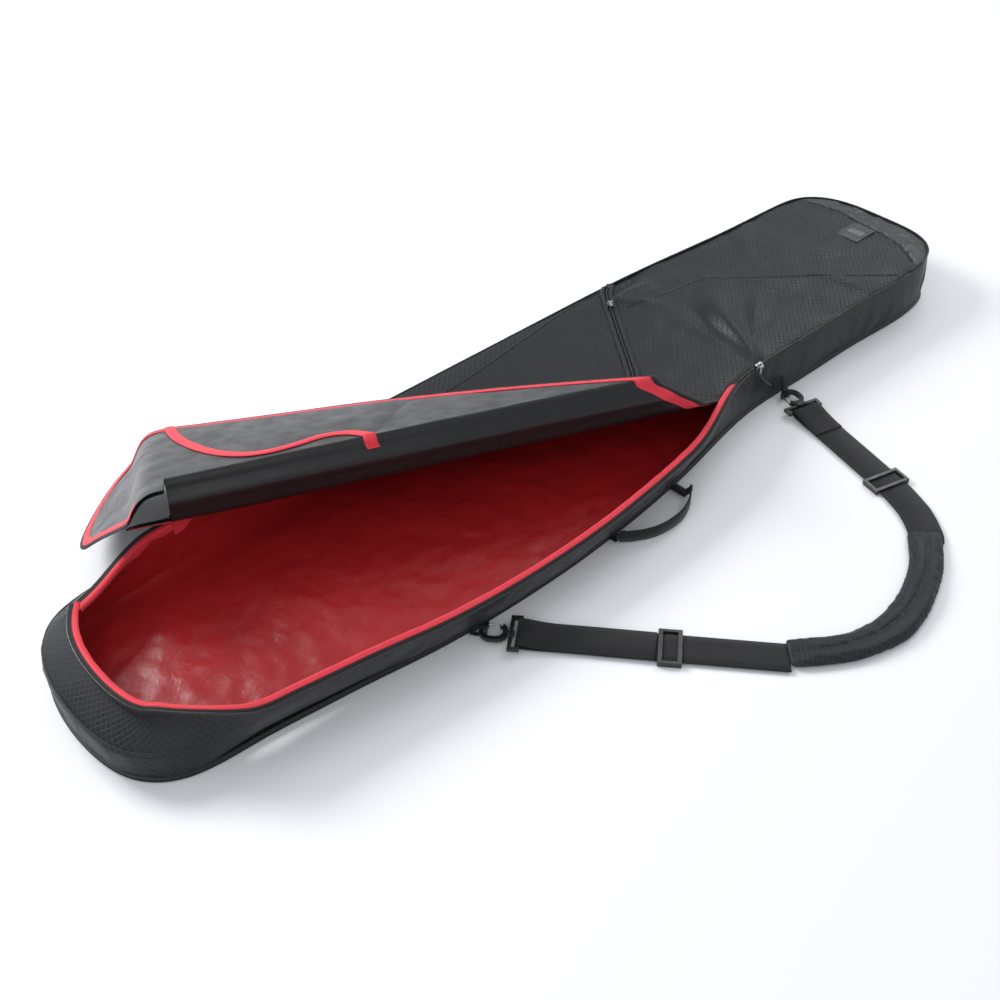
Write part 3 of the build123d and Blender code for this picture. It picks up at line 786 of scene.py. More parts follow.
SHELL_GROUND = (0.0085, 0.0092, 0.0110)
SHELL_THREAD = (0.0135, 0.0146, 0.0172)
MAT = {
    "top": ripstop("TopRipstop", SHELL_GROUND, SHELL_THREAD, (0.0020, 0.0022, 0.0028), 7.5, 45, 0.38),
    "wall": ripstop("WallRipstop", (0.0065, 0.0070, 0.0088), (0.0105, 0.0115, 0.014),
                    (0.024, 0.026, 0.031), 7.5, 45, 0.44),
    "nose": coated("NoseCoated", (0.013, 0.0135, 0.015), (0.022, 0.023, 0.025), 0.33, 0.8, 16, 0.2),
    "underside": coated("LidLining", (0.0105, 0.0112, 0.0116), (0.0140, 0.0148, 0.0152),
                        0.36, 0.06, 34, 0.05),
    "red_lining": coated("RedLining", (0.36, 0.012, 0.014), (0.25, 0.008, 0.010), 0.36, 0.5, 24, 0.05),
    "binding": woven_tape("RedBinding", (0.80, 0.050, 0.074), (0.66, 0.033, 0.052), 0.6, 2.1, (3.0,), 0.08),
    "tape": woven_tape("ZipTape", (0.016, 0.0135, 0.0135), (0.024, 0.021, 0.021),
                       0.75, 1.3, (8.0,), 0.1, 0.8),
    "coil": moulded("ZipCoil", (0.012, 0.012, 0.013), 0.38),
    "piping": woven_tape("Piping", (0.008, 0.0085, 0.010), (0.013, 0.014, 0.016), 0.6, 1.8, (), 0.2),
    "webbing": woven_tape("Webbing", (0.0085, 0.0085, 0.0095), (0.014, 0.014, 0.0155),
                          0.62, 2.2, (4.0, 46.0), 0.12, 0.12),
    "narrow": woven_tape("NarrowWebbing", (0.009, 0.009, 0.010), (0.015, 0.015, 0.017), 0.6, 1.8, (), 0.12),
    "pad": ripstop("PadRipstop", (0.0085, 0.0096, 0.0128), (0.014, 0.0158, 0.020),
                   (0.024, 0.027, 0.034), 6.5, 45, 0.46),
    "label": moulded("LabelRubber", (0.022, 0.0235, 0.025), 0.5),
    "label_mark": moulded("LabelMark", (0.085, 0.09, 0.095), 0.45),
    "plastic": moulded("BlackPlastic", (0.012, 0.012, 0.013), 0.34),
    "metal": plated("SliderMetal", (0.62, 0.62, 0.60), 0.28),
    "wire": plated("GateWire", (0.52, 0.52, 0.52), 0.2),
    "cord": woven_tape("PullCord", (0.011, 0.011, 0.012), (0.018, 0.018, 0.020), 0.6, 1.6, (), 0.3, 1.0),
}


# ------------------------------------------------------------------ walls
NEAR_JOIN = station(-250, True)
FAR_NOSE = station(330, False)
FAR_ZIP = station(FAR_ZIP_X, False)
FAR_TAIL = station(-777, False)


def span(first, last, step=2):
    """Outline samples from one to another, going from the nose by the far side and the tail."""
    if last <= first:
        last += RING_COUNT
    picked = list(range(first, last, step)) + [last]
    return np.array(picked) % RING_COUNT


SECTORS = [
    ("tail", span(FAR_TAIL, NEAR_JOIN), TAIL_LEAN),
    ("nose", span(NEAR_JOIN, FAR_NOSE), NOSE_LEAN),
    ("far", span(FAR_NOSE, FAR_ZIP), ROOT),
    ("back", span(FAR_ZIP, FAR_TAIL), ROOT),
]
FOOT_TILT = math.radians(25)


def skirt_low(index):
    """Lowest hidden edge of the leaning wall, so that it never reaches the floor when it leans."""
    plan = RING[index]
    outward = plan[:, 1] - lean_pivot.y
    depth = np.clip((6.8 + outward * math.sin(FOOT_TILT)) / math.cos(FOOT_TILT), 1.5, 6.4)
    leaning = (plan[:, 1] < 0) & (plan[:, 0] > LEAN_TAIL) & (plan[:, 0] < LEAN_NOSE)
    return np.where(leaning, lean_pivot.z - depth, 1.6)


# How far up the wall each row of its shell lies.
SHARE_UP = np.array([0, 0.05, 0.1, 0.16, 0.23, 0.3, 0.37, 0.44, 0.51, 0.58, 0.65, 0.72, 0.79,
                     0.86, 0.92, 0.96, 1.0])
NOSE_RISE = 13
LINING_TOP = 84.5
LINING_ROWS = 14


def wall_relief(points, seed, amount):
    """Uneven padding and creases of a wall."""
    return amount * (swell(points, 90, seed) + 0.9 * creases(points * (1, 1, 0.5), 60, seed + 1) - 0.4)


for sector, index, carrier in SECTORS:
    top = high_of("far_wall_panel").z if sector == "far" else ZIP_LEVEL
    low = skirt_low(index)
    if sector == "nose":
        top += NOSE_RISE * np.where(RING[index, 1] > 0, 1, smooth((RING[index, 0] - 735) / 30))[:, None]
    height = low[:, None] + (top - low[:, None]) * SHARE_UP
    belly = np.sin(math.pi * np.clip((height - 2) / (height[:, -1:] - 2), 0, 1)) ** 0.7
    flat = wall_points(index[:, None], np.zeros_like(height), height)
    uneven = wall_relief(flat.reshape(-1, 3), 11, 1.0).reshape(height.shape)
    seam = np.exp(-((height - SHOULDER_Z) / 2.2) ** 2) * SHARE[index][:, None]
    outset = belly * (3.2 + 1.5 * uneven) - 1.6 * seam
    grid = wall_points(index[:, None], 0.9 - outset, height)
    swept(f"wall_shell_{sector}", grid, carrier, "wall", "shell_fabric", 0.9)

    low_lining = np.maximum(low, 4.0)[:, None]
    height = low_lining + (LINING_TOP - low_lining) * np.linspace(0, 1, LINING_ROWS)
    flat = wall_points(index[:, None], np.full_like(height, 8.6), height).reshape(-1, 3)
    uneven = (1.6 * swell(flat, 70, 23) + 1.4 * creases(flat, 45, 24)).reshape(height.shape)
    ease = np.sin(math.pi * np.linspace(0, 1, LINING_ROWS)) ** 0.6
    grid = wall_points(index[:, None], 8.4 + ease * (1.5 + uneven), height)
    swept(f"wall_lining_{sector}", grid, carrier, "red_lining", "red_lining", 0.6, flip=True)

band_index = span(0, 0)
band_height = np.array([0.5, 2.5, 5.0, 7.5, 9.6, 10.2])
band_outset = np.array([0.2, 1.0, 1.4, 1.5, 1.0, 0.2])
band_grid = wall_points(band_index[:, None], np.broadcast_to(-band_outset, (len(band_index), 6)), band_height)
swept("base_edge", band_grid, ROOT, "piping", "shell_fabric", 0.9)


def section(index, rows):
    """Insets and heights of a section's rows, one line for each outline sample."""
    return [np.broadcast_to(values, (len(index), len(rows))).copy() for values in np.array(rows, float).T]


# The sewn foot behind the leaning wall.
foot_index = span(station(LEAN_TAIL, True), station(LEAN_NOSE, True))
foot_rows = [(3.4, 1.6), (3.4, 6.0), (3.6, 10.0), (4.4, 13.0)]
foot_grid = wall_points(foot_index[:, None], *section(foot_index, foot_rows))
swept("wall_foot", foot_grid, ROOT, "wall", "shell_fabric", 0.9)

# The zip's tape and coil, and the red binding that rolls over the wall's top edge.
OPEN_SECTORS = [SECTORS[3], SECTORS[0], ("nose", span(NEAR_JOIN, station(SLIDER_X - 12, True)), NOSE_LEAN)]
TAPE_ROWS = [(0.6, 75.4), (-0.4, 76.6), (-0.9, 79.0), (-1.2, 81.5), (-1.6, 83.2), (-2.4, 84.6),
             (-1.8, 85.5), (0.6, 85.8), (3.4, 85.6)]
CAP_ROWS = [(2.6, 85.2), (3.2, 85.8), (5.0, 86.1), (7.0, 86.1), (9.0, 85.8), (10.6, 84.9), (11.4, 83.4),
            (11.2, 81.6), (10.4, 79.5), (9.8, 76.0), (9.6, 71.0), (9.6, 66.0), (9.8, 63.5)]


def rows_grid(index, rows, wobble, seed):
    """A section swept along the wall top, a little uneven."""
    inset, height = section(index, rows)
    flat = wall_points(index[:, None], inset, height).reshape(-1, 3)
    soft = np.sin(math.pi * np.linspace(0, 1, len(rows)))
    inset += wobble * soft * swell(flat, 34, seed).reshape(inset.shape)
    height += 0.7 * wobble * soft * swell(flat, 27, seed + 1).reshape(inset.shape)
    return wall_points(index[:, None], inset, height)


COIL_ANGLES = np.linspace(0, 2 * math.pi, 7)
TOOTH_WAIST = 0.62


def coil_grid(index, inset, height, size):
    """A closed section of zip teeth along the wall top, with alternate wide and narrow stations."""
    fine = np.repeat(index, 2)
    wide = np.arange(len(fine)) % 2 == 0
    grow = np.where(wide, 1.0, TOOTH_WAIST)
    offset = np.where(wide, 0.0, 0.5)
    inset_rows = inset + size * grow[:, None] * np.cos(COIL_ANGLES)
    height_rows = height + size * grow[:, None] * np.sin(COIL_ANGLES)
    here = wall_points(fine[:, None], inset_rows, height_rows)
    following = wall_points(((fine + 1) % RING_COUNT)[:, None], inset_rows, height_rows)
    return here + (following - here) * offset[:, None, None]


for sector, index, carrier in OPEN_SECTORS:
    tape = rows_grid(index, TAPE_ROWS, 0.6, 31)
    swept(f"wall_zip_tape_{sector}", tape, carrier, "tape", "zip_tape", 0.6)
    cap = rows_grid(index, CAP_ROWS, 0.5, 37)
    swept(f"wall_binding_{sector}", cap, carrier, "binding", "red_binding", 0.7)
    fine_index = span(int(index[0]), int(index[-1]), 1)
    coil = coil_grid(fine_index, -3.0, 85.2, 1.5)
    swept(f"wall_zip_coil_{sector}", coil, carrier, "coil", "zip_teeth")

SHUT_FROM, SHUT_TO = station(SLIDER_X + 8, True), station(ZIP_END_X, True)
shut_index = span(SHUT_FROM, SHUT_TO)
closed_rows = [(0.6, 75.4), (-0.4, 76.8), (-1.0, 79.5), (-1.4, 82.0), (-1.8, 84.4), (-0.6, 86.0)]
swept("wall_zip_tape_shut", rows_grid(shut_index, closed_rows, 0.6, 31), ROOT, "tape", "zip_tape", 0.6)
coil_shut = coil_grid(span(SHUT_FROM, SHUT_TO, 1), -1.9, 87.7, 2.0)
swept("zip_chain", coil_shut, ROOT, "coil", "zip_teeth")
far_rows = [(9.4, 86.5), (9.8, 82.0), (10.0, 76.0), (9.9, 70.0), (9.9, 64.0)]
far_index = span(station(NOSE_RIM_X, False), FAR_ZIP)
swept("wall_binding_far", rows_grid(far_index, far_rows, 0.8, 41), ROOT, "binding", "red_binding", 0.7)


# ------------------------------------------------------------------ floor lining and base
floor_outline = (RING + RING_IN * 8.8)[::3]
floor_plan, floor_faces = sheet(floor_outline, 9.0)
floor_edge = outline_distance(floor_plan, floor_outline)
floor_height = FLOOR_Z + 0.5 + 5.0 * np.exp(-floor_edge / 5) + 0.8 * swell(floor_plan, 80, 51)
floor_folds = 2.4 * creases(floor_plan, 120, 52) + 1.0 * swell(floor_plan, 32, 53)
floor_height += floor_folds * (1 - np.exp(-floor_edge / 20))
floor_points = np.column_stack([floor_plan, floor_height])
thicken(new_piece("floor_lining", floor_points, floor_faces, floor_plan, "red_lining", "red_lining", "root"), 0.6)

under_plan, under_faces = sheet(RING[::3], 20.0)
under_points = np.column_stack([under_plan, np.full(len(under_plan), 1.4)])
under_faces = [f[::-1] for f in under_faces]
thicken(new_piece("base_shell", under_points, under_faces, under_plan, "wall", "shell_fabric", "root"), -1.2)


# ------------------------------------------------------------------ top panel and lid
pocket_points = node_points("pocket_zip")
pocket_top_face = pocket_points[pocket_points[:, 2] > high_of("pocket_zip").z - 0.1][:, :2]
pocket_mid = pocket_top_face.mean(0)
pocket_spread = np.linalg.svd(pocket_top_face - pocket_mid)[2][0]
if pocket_spread[1] < 0:
    pocket_spread = -pocket_spread
pocket_half = np.abs((pocket_top_face - pocket_mid) @ pocket_spread).max() - 10
POCKET_HIGH = pocket_mid + pocket_spread * pocket_half
POCKET_LOW = pocket_mid - pocket_spread * pocket_half
pocket_line = curve_through([
    POCKET_HIGH + (40, 32), POCKET_HIGH + (17, 20), POCKET_HIGH, pocket_mid, POCKET_LOW,
    POCKET_LOW + (-18, -14), POCKET_LOW + (-42, -21)], 3.0)
v_seam = curve_through([
    POCKET_HIGH + (4, -38), (332, 86), (418, 73), (445, 52), (496, 6), (598, -84), (672, -145)], 3.0)

nose_points = node_points("nose_end_strip")
nose_top = nose_points[nose_points[:, 2] > TOP_Z - 0.1][:, :2]
nose_inner = nose_top[(tree_gap(rim_tree, nose_top) > 4) & (nose_top[:, 0] < 790)]
nose_inner = nose_inner[np.argsort(nose_inner[:, 1])]
nose_seam = curve_through(nose_inner[:: max(1, len(nose_inner) // 12)], 3.0)
far_seam = curve_through([(290, 172), (180, 166), (77, 152), (-20, 138), (-90, 131), (-160, 133),
                          (-240, 150), (-300, 171)], 3.0)
SEAMS = [v_seam, nose_seam, far_seam]

top_plan, top_faces = sheet(rim_points(0.6)[::2], 6.0, SEAMS + [pocket_line])
edge_gap = tree_gap(rim_tree, top_plan)
nose_share = smooth((top_plan[:, 0] - 60) / 220)
fixed_share = smooth(-(across_lid(np.column_stack([top_plan, np.full(len(top_plan), TOP_Z)])) + 10) / 80)
full = nose_share * fixed_share
top_height = TOP_Z - 2.6 * np.exp(-edge_gap / 4.5)
top_height += full * 6.5 * (1 - np.exp(-edge_gap / 55))
for seam_line in SEAMS:
    gap = polyline_distance(top_plan, seam_line)
    top_height += -1.5 * np.exp(-(gap / 1.7) ** 2) + 0.9 * full * (np.exp(-(gap / 14) ** 2) - 1)
gap = polyline_distance(top_plan, pocket_line)
top_height += -1.5 * np.exp(-(gap / 5) ** 2)


def pull(plan, start, stop, width, height, skew):
    """A drawn fold in the cloth that fades out along its length."""
    start, stop = np.array(start, float), np.array(stop, float)
    along = (stop - start) / np.linalg.norm(stop - start)
    side = np.array([-along[1], along[0]])
    t = (plan - start) @ along / np.linalg.norm(stop - start)
    off = (plan - start) @ side - skew * np.sin(math.pi * np.clip(t, 0, 1))
    fade = smooth(t / 0.18 + 0.3) * smooth((1 - t) / 0.6)
    grown = width * (0.55 + 0.9 * np.clip(t, 0, 1))
    return height * fade * (t > -0.1) * np.exp(-(off / grown) ** 2)


SLIDER = (SLIDER_X, -148)
# Folds drawn in the cloth: from, to, width, height and bow.
FOLDS = [
    (SLIDER, (430, 70), 20, 7.0, 10),
    (SLIDER, (350, 60), 15, -6.0, 6),
    (SLIDER, (300, 40), 13, 3.5, -5),
    ((330, -120), (520, 10), 11, 3.0, 8),
    ((520, -150), (430, 40), 30, -3.0, 0),
    ((600, -140), (540, 20), 14, 2.6, -7),
    ((700, -60), (560, 60), 16, 2.4, 9),
    ((640, 150), (520, 60), 15, 2.4, -6),
    (POCKET_HIGH, (430, 120), 18, 3.5, -8),
    (POCKET_HIGH, (400, 165), 10, -2.5, 5),
    (POCKET_HIGH, (330, 30), 12, 2.5, 6),
    (POCKET_LOW, (40, 30), 14, 2.5, 8),
    (POCKET_LOW, (190, -120), 12, 2.5, 4),
]
top_height += 1.5 * full * sum(pull(top_plan, *fold) for fold in FOLDS)
calm = 0.35 + 0.65 * full
top_height += calm * (1.1 * swell(top_plan, 75, 61) + 0.7 * swell(top_plan, 30, 62) * np.exp(-edge_gap / 70))
nose_zone = top_plan[:, 0] > np.interp(top_plan[:, 1], nose_seam[:, 1], nose_seam[:, 0])
nose_crinkle = 1.6 * creases(top_plan, 22, 71) + 1.0 * swell(top_plan, 12, 72)
top_height += np.where(nose_zone, nose_crinkle * (1 - np.exp(-edge_gap / 6)), 0)

centres = np.array([top_plan[list(f)].mean(0) for f in top_faces])
pick_nose = centres[:, 0] > np.interp(centres[:, 1], nose_seam[:, 1], nose_seam[:, 0])
order = np.argsort(far_seam[:, 0])
seam_y = np.interp(centres[:, 0], far_seam[order, 0], far_seam[order, 1], left=1e6, right=1e6)
pick_far = centres[:, 1] > seam_y
picks = np.where(pick_nose, 1, np.where(pick_far, 2, 0))
top_points = np.column_stack([top_plan, top_height])
top_parts = cut_pieces("top", top_points, top_faces, top_plan, ["top", "nose", "wall"], "shell_fabric",
                       LID_ZONES, 0.9, picks)

# The lid's underside, from the seam with the far wall to the free edge.
inner_plan, inner_faces = sheet(rim_points(9.0)[::3], 8.0)
inner_gap = tree_gap(rim_tree, inner_plan)
inner_height = LINING_Z + 1.5 * np.exp(-inner_gap / 22) + 0.3 - 0.5 * (1 - np.exp(-inner_gap / 30))
inner_height += 0.7 * swell(inner_plan, 190, 81)
inner_height += 0.5 * creases(inner_plan * (0.5, 1.2), 110, 82) * np.exp(-inner_gap / 45)
inner_points = np.column_stack([inner_plan, inner_height])
inner_faces = [f[::-1] for f in inner_faces]
cut_pieces("lid_underside", inner_points, inner_faces, inner_plan, ["underside"], "lid_lining", LID_ZONES, 0.6)

# The lid's free edge: zip tape, coil and red binding.
edge_index = span(FAR_ZIP, station(SLIDER_X - 10, True), 1)


def edge_grid(index, rows, wobble, seed):
    """A section swept along the lid's free edge."""
    inset, height = section(index, rows)
    line = rim_points(0)[index]
    soft = np.sin(math.pi * np.linspace(0, 1, len(rows)))
    inset += wobble * soft * swell(line, 30, seed)[:, None]
    height += 0.5 * wobble * soft * swell(line, 21, seed + 1)[:, None]
    plan = line[:, None] + RING_IN[index][:, None] * inset[..., None]
    return np.dstack([plan[..., 0], plan[..., 1], height])


EDGE_TAPE = [(6.0, 91.2), (1.0, 90.9), (-1.2, 90.0), (-2.0, 89.0), (-1.0, 88.0), (2.0, 87.7)]
EDGE_BINDING = [(0.2, 88.8), (1.0, 87.9), (3.0, 87.3), (6.0, 86.9), (9.0, 86.8), (12.5, 86.8), (15.0, 86.9),
                (16.0, 87.6)]
tape_mesh = grid_mesh(edge_grid(edge_index, EDGE_TAPE, 0.3, 91))
cut_pieces("lid_zip_tape", *tape_mesh, ["tape"], "zip_tape", LID_ZONES, 0.5)
binding_mesh = grid_mesh(edge_grid(edge_index, EDGE_BINDING, 0.5, 95)[:, ::-1])
cut_pieces("lid_binding", *binding_mesh, ["binding"], "red_binding", LID_ZONES, 0.7)
coil_rows = [(-2.4 + 1.5 * math.cos(a), 89.0 + 1.5 * math.sin(a)) for a in COIL_ANGLES]
coil_full = edge_grid(np.repeat(edge_index, 2), coil_rows, 0.0, 99)
coil_centre = coil_full[:, :-1].mean(1, keepdims=True)
slim = np.where(np.arange(len(coil_full)) % 2 == 0, 1.0, TOOTH_WAIST)[:, None, None]
coil_full = coil_centre + (coil_full - coil_centre) * slim
half_step = np.vstack([np.diff(coil_full[:, :1], axis=0) * 0.5, np.zeros((1, 1, 3))])
coil_full[1::2] += half_step[1::2]
cut_pieces("lid_zip_coil", *grid_mesh(coil_full), ["coil"], "zip_teeth", LID_ZONES)

# The pocket panel under the lid, with its red edge.
pocket_edge = curve_through([
    (-690, -160), (-652, -98), (-606, -44), (-556, -2), (-510, 18), (-474, 14), (-442, -8),
    (-412, -36), (-380, -42), (-350, -28), (-318, 0)], 5.0)
panel_rest = rim_points(20.0)
rim_low = station(-300, True)
rim_tail = int(np.argmin(np.hypot(*(panel_rest - pocket_edge[0]).T)))
panel_outline = np.vstack([pocket_edge[:-2], panel_rest[rim_tail:rim_low:3][::-1]])
panel_plan, panel_faces = sheet(panel_outline, 8.0)
panel_gap = outline_distance(panel_plan, panel_outline)
panel_drop = 2.3 + 1.2 * (1 - np.exp(-panel_gap / 30)) + 0.7 * np.abs(swell(panel_plan, 150, 101))
panel_end = np.array([pocket_edge[-1], panel_rest[rim_low]])
panel_height = LINING_Z + 0.9 - panel_drop * smooth(polyline_distance(panel_plan, panel_end) / 45)
panel_points = np.column_stack([panel_plan, panel_height])
panel_faces = [f[::-1] for f in panel_faces]
cut_pieces("lid_pocket", panel_points, panel_faces, panel_plan, ["underside"], "lid_lining", FLAP_ZONES, 0.6)
edge_side = sideways(unit(np.gradient(pocket_edge, axis=0)))
trim_rows = []
for offset, drop in ((-8, 1.2), (-7, 2.4), (-2, 3.2), (4, 3.2), (8, 2.5), (9, 1.3)):
    plan = pocket_edge + edge_side * offset
    trim_rows.append(np.column_stack([plan, np.full(len(plan), LINING_Z - drop)]))
trim_grid = np.stack(trim_rows, axis=1)[:, ::-1]
cut_pieces("lid_pocket_trim", *grid_mesh(trim_grid), ["binding"], "red_binding", FLAP_ZONES, 0.6)


# ------------------------------------------------------------------ piping
def ring_tube(name, index, inset, height, radius):
    """A cord along the bag's outline."""
    path = wall_points(index[:, None], np.full((len(index), 1), float(inset)), np.array([height]))[:, 0]
    new_piece(name, *tube(path, radius), "piping", "piping", "root")


ring_tube("base_piping", span(0, 0), -0.8, 2.6, 1.9)
ring_tube("top_piping", span(station(NOSE_RIM_X, True), station(-568, False)), 0.2, high_of("piping").z - 2.0, 1.6)
ring_tube("shoulder_piping", span(station(-640, False), station(-690, True)), 0.6, SHOULDER_Z + 0.2, 1.5)
top_tree = plan_tree(top_points)


def level_at(plan):
    """Height of the bag's top at plan points."""
    return np.array([top_points[top_tree.find((p[0], p[1], 0))[1], 2] for p in plan])


cord_carrier = LID_BENDS[0][3]
for seam_name, seam_line, rise, radius in (("v", v_seam, 0.2, 0.9), ("nose", nose_seam, 0.6, 1.3),
                                           ("far", far_seam, 0.8, 1.3)):
    path = np.column_stack([seam_line, level_at(seam_line) + rise])
    points, faces, uvs = tube(path, radius, 6)
    cord = new_piece(f"seam_piping_{seam_name}", cord_carrier.rest(points), faces, uvs, "piping", "piping")
    cord_carrier.attach(cord)


# ------------------------------------------------------------------ outer pocket zip
pocket_side = sideways(unit(np.gradient(pocket_line, axis=0)))
ends = np.clip(np.minimum(np.arange(len(pocket_line)), np.arange(len(pocket_line))[::-1]) / 6, 0.15, 1)
parts = []
for side in (1, -1):
    lip = pocket_line + pocket_side * side * 7.0 * ends[:, None]
    path = np.column_stack([lip, np.full(len(lip), TOP_Z + 1.6) + 0.8 * swell(lip, 25, 111)])
    parts.append(tube(path, 3.4 * ends + 0.6, 8))
new_piece("pocket_lips", *joined(*parts), "top", "shell_fabric", "root")
tape_level = np.full(len(pocket_line), TOP_Z + 0.8)
tape_rows = [np.column_stack([pocket_line + pocket_side * o, tape_level]) for o in (-7, -3.5, 3.5, 7)]
swept("pocket_zip_tape", np.stack(tape_rows, axis=1), ROOT, "tape", "zip_tape", 0.5, flip=True)
chain = curve_through(pocket_line, 1.2)
grow = np.where(np.arange(len(chain)) % 2 == 0, 2.3, 1.5)
chain_mesh = tube(np.column_stack([chain, np.full(len(chain), TOP_Z + 1.2)]), grow, 6)
new_piece("pocket_zip_coil", *chain_mesh, "coil", "zip_teeth", "root")


# ------------------------------------------------------------------ label
def rounded_patch(name, centre, size, rise, corner, look):
    """A thin patch with round corners and a soft edge."""
    outline = []
    for cx, cy, start in ((1, 1, 0), (-1, 1, 90), (-1, -1, 180), (1, -1, 270)):
        for step in range(7):
            angle = math.radians(start + step * 15)
            x = cx * (size[0] / 2 - corner) + corner * math.cos(angle)
            y = cy * (size[1] / 2 - corner) + corner * math.sin(angle)
            outline.append((x, y))
    outline = np.array(outline)
    rings = [(1.0, 0.0), (1.0, rise * 0.7), (0.985, rise), (0.9, rise), (0.45, rise * 1.02), (0.02, rise * 1.03)]
    rows = [np.column_stack([outline * scale + centre[:2], np.full(len(outline), centre[2] + height)])
            for scale, height in rings]
    points = np.vstack(rows)
    new_piece(name, points, ring_faces(len(rings), len(outline)), points[:, :2], look, "label", "root")


label_low, label_high = low_of("label_patch"), high_of("label_patch")
label_mid = (label_low + label_high) / 2
label_size = (label_high.x - label_low.x, label_high.y - label_low.y)
label_z = float(level_at(np.array([[label_mid.x, label_mid.y]]))[0]) + 0.3
rounded_patch("label", (label_mid.x, label_mid.y, label_z), label_size, 1.6, 3.0, "label")
rounded_patch("label_bar", (label_mid.x, label_mid.y - 2, label_z + 1.6), (16, 30), 0.4, 1.5, "label_mark")


# ------------------------------------------------------------------ straps
def ribbon_mesh(path, width, thickness, side_way, crown=0.3):
    """Flat webbing along a 3-D path: closed section with soft edges."""
    path = np.asarray(path, float)
    along = unit(np.gradient(path, axis=0))
    side = np.broadcast_to(np.asarray(side_way, float), path.shape)
    side = unit(side - along * np.sum(side * along, axis=1)[:, None])
    up = np.cross(side, along)
    h, t = width / 2, thickness / 2
    outline = [(-h, 0), (-h + 0.4, t), (-h * 0.5, t + crown), (0, t + crown), (h * 0.5, t + crown),
               (h - 0.4, t), (h, 0), (h - 0.4, -t), (0, -t), (-h + 0.4, -t)]
    points, uvs = [], []
    run = 0.0
    for k in range(len(path)):
        if k:
            run += np.linalg.norm(path[k] - path[k - 1])
        for a, b in outline:
            points.append(path[k] + side[k] * a + up[k] * b)
            uvs.append((run, a + h))
    return np.array(points), ring_faces(len(path), len(outline), flip=True), np.array(uvs)


WEBBING = 50.0
WEBBING_T = 1.6
HOOK_Z = hinge_position("hook_tail_swivel").z
STRAP_Z = 4.2
BAR_X = 51.0
BAR_RADIUS = 2.5
BAR_TURN = BAR_RADIUS + 0.3 + WEBBING_T / 2


class HookFrame:
    """Plan frame with its origin in a hook's bend and +X along the strap."""

    def __init__(self, joint):
        self.origin = np.array(hinge_position(joint))
        self.way = np.array(Vector(JOINTS[joint]["axis"]).normalized())
        self.side = np.array([-self.way[1], self.way[0], 0])

    def place(self, x, y, z):
        spot = self.origin + self.way * x + self.side * y
        return np.array([spot[0], spot[1], z])


tail_hook = HookFrame("hook_tail_swivel")
nose_hook = HookFrame("hook_nose_swivel")


def looped_path(hook, straight_end, return_end, sway):
    """The webbing's path: flat, round the hook's bar, and back on itself."""
    flat = [(x, STRAP_Z) for x in (straight_end, straight_end - 25, 200, 130, 95)] + [(78, 4.3), (64, 4.9)]
    for angle in range(270, 80, -20):
        rad = math.radians(angle)
        flat.append((BAR_X + BAR_TURN * math.cos(rad), HOOK_Z + BAR_TURN * math.sin(rad)))
    back = STRAP_Z + WEBBING_T + 0.4
    flat += [(64, 11.2), (80, 8.2), (98, back + 0.3)]
    if return_end > 130:
        flat += [(130, back), (180, back), (return_end - 8, back)]
    flat += [(return_end, back)]
    points = [hook.place(x, sway * math.sin(x / 70), z) for x, z in flat]
    return curve_through(points, 3.0)


pad_low, pad_high = low_of("shoulder_pad"), high_of("shoulder_pad")
PAD_COURSE = [(0.04, 0.72), (0.145, 0.498), (0.264, 0.314), (0.42, 0.222), (0.587, 0.276), (0.748, 0.444),
              (0.867, 0.643), (0.958, 0.85)]
PAD_WIDTH = [50, 54, 57, 58, 58, 57, 54, 50]
pad_knots = [(pad_low.x + u * (pad_high.x - pad_low.x), pad_low.y + v * (pad_high.y - pad_low.y), w)
             for (u, v), w in zip(PAD_COURSE, PAD_WIDTH)]
pad_line = curve_through(pad_knots, 2.0)
pad_side = sideways(unit(np.gradient(pad_line[:, :2], axis=0)))


def pad_place(t, v, z):
    """A point of the pad: t along it, v across it from -1 to 1."""
    at = np.asarray(t) * (len(pad_line) - 1)
    count = np.arange(len(pad_line))
    x, y, width = [np.interp(at, count, pad_line[:, k]) for k in range(3)]
    side_x, side_y = [np.interp(at, count, pad_side[:, k]) for k in range(2)]
    half = np.asarray(v) * width / 2
    return np.stack([x + side_x * half, y + side_y * half, z], -1)


def pad_sheet(top):
    """Upper or lower skin of the shoulder pad on a grid."""
    along, across = 110, 21
    t = np.linspace(0.015, 0.985, along)[:, None] * np.ones((1, across))
    v = np.linspace(-1, 1, across)[None, :] * np.ones((along, 1))
    edge = np.clip(1 - np.abs(v), 0, 1)
    puff = np.clip(edge / 0.35, 0, 1) ** 0.45
    tip = smooth(np.minimum(t, 1 - t) / 0.055)
    centre_seam = np.exp(-(v / 0.07) ** 2)
    flat = pad_place(t, v, np.zeros_like(t)).reshape(-1, 3)[:, :2]
    uneven = (0.8 * swell(flat, 38, 121) + 1.1 * creases(flat, 30, 122)).reshape(t.shape)
    body = (0.35 + 0.65 * tip) * puff
    if top:
        z = 6.5 + body * (5.6 + uneven) - 1.8 * centre_seam * tip * puff
    else:
        z = 6.5 - 5.2 * np.clip(puff, 0, 1) * (0.5 + 0.5 * tip)
    return pad_place(t, v, z)


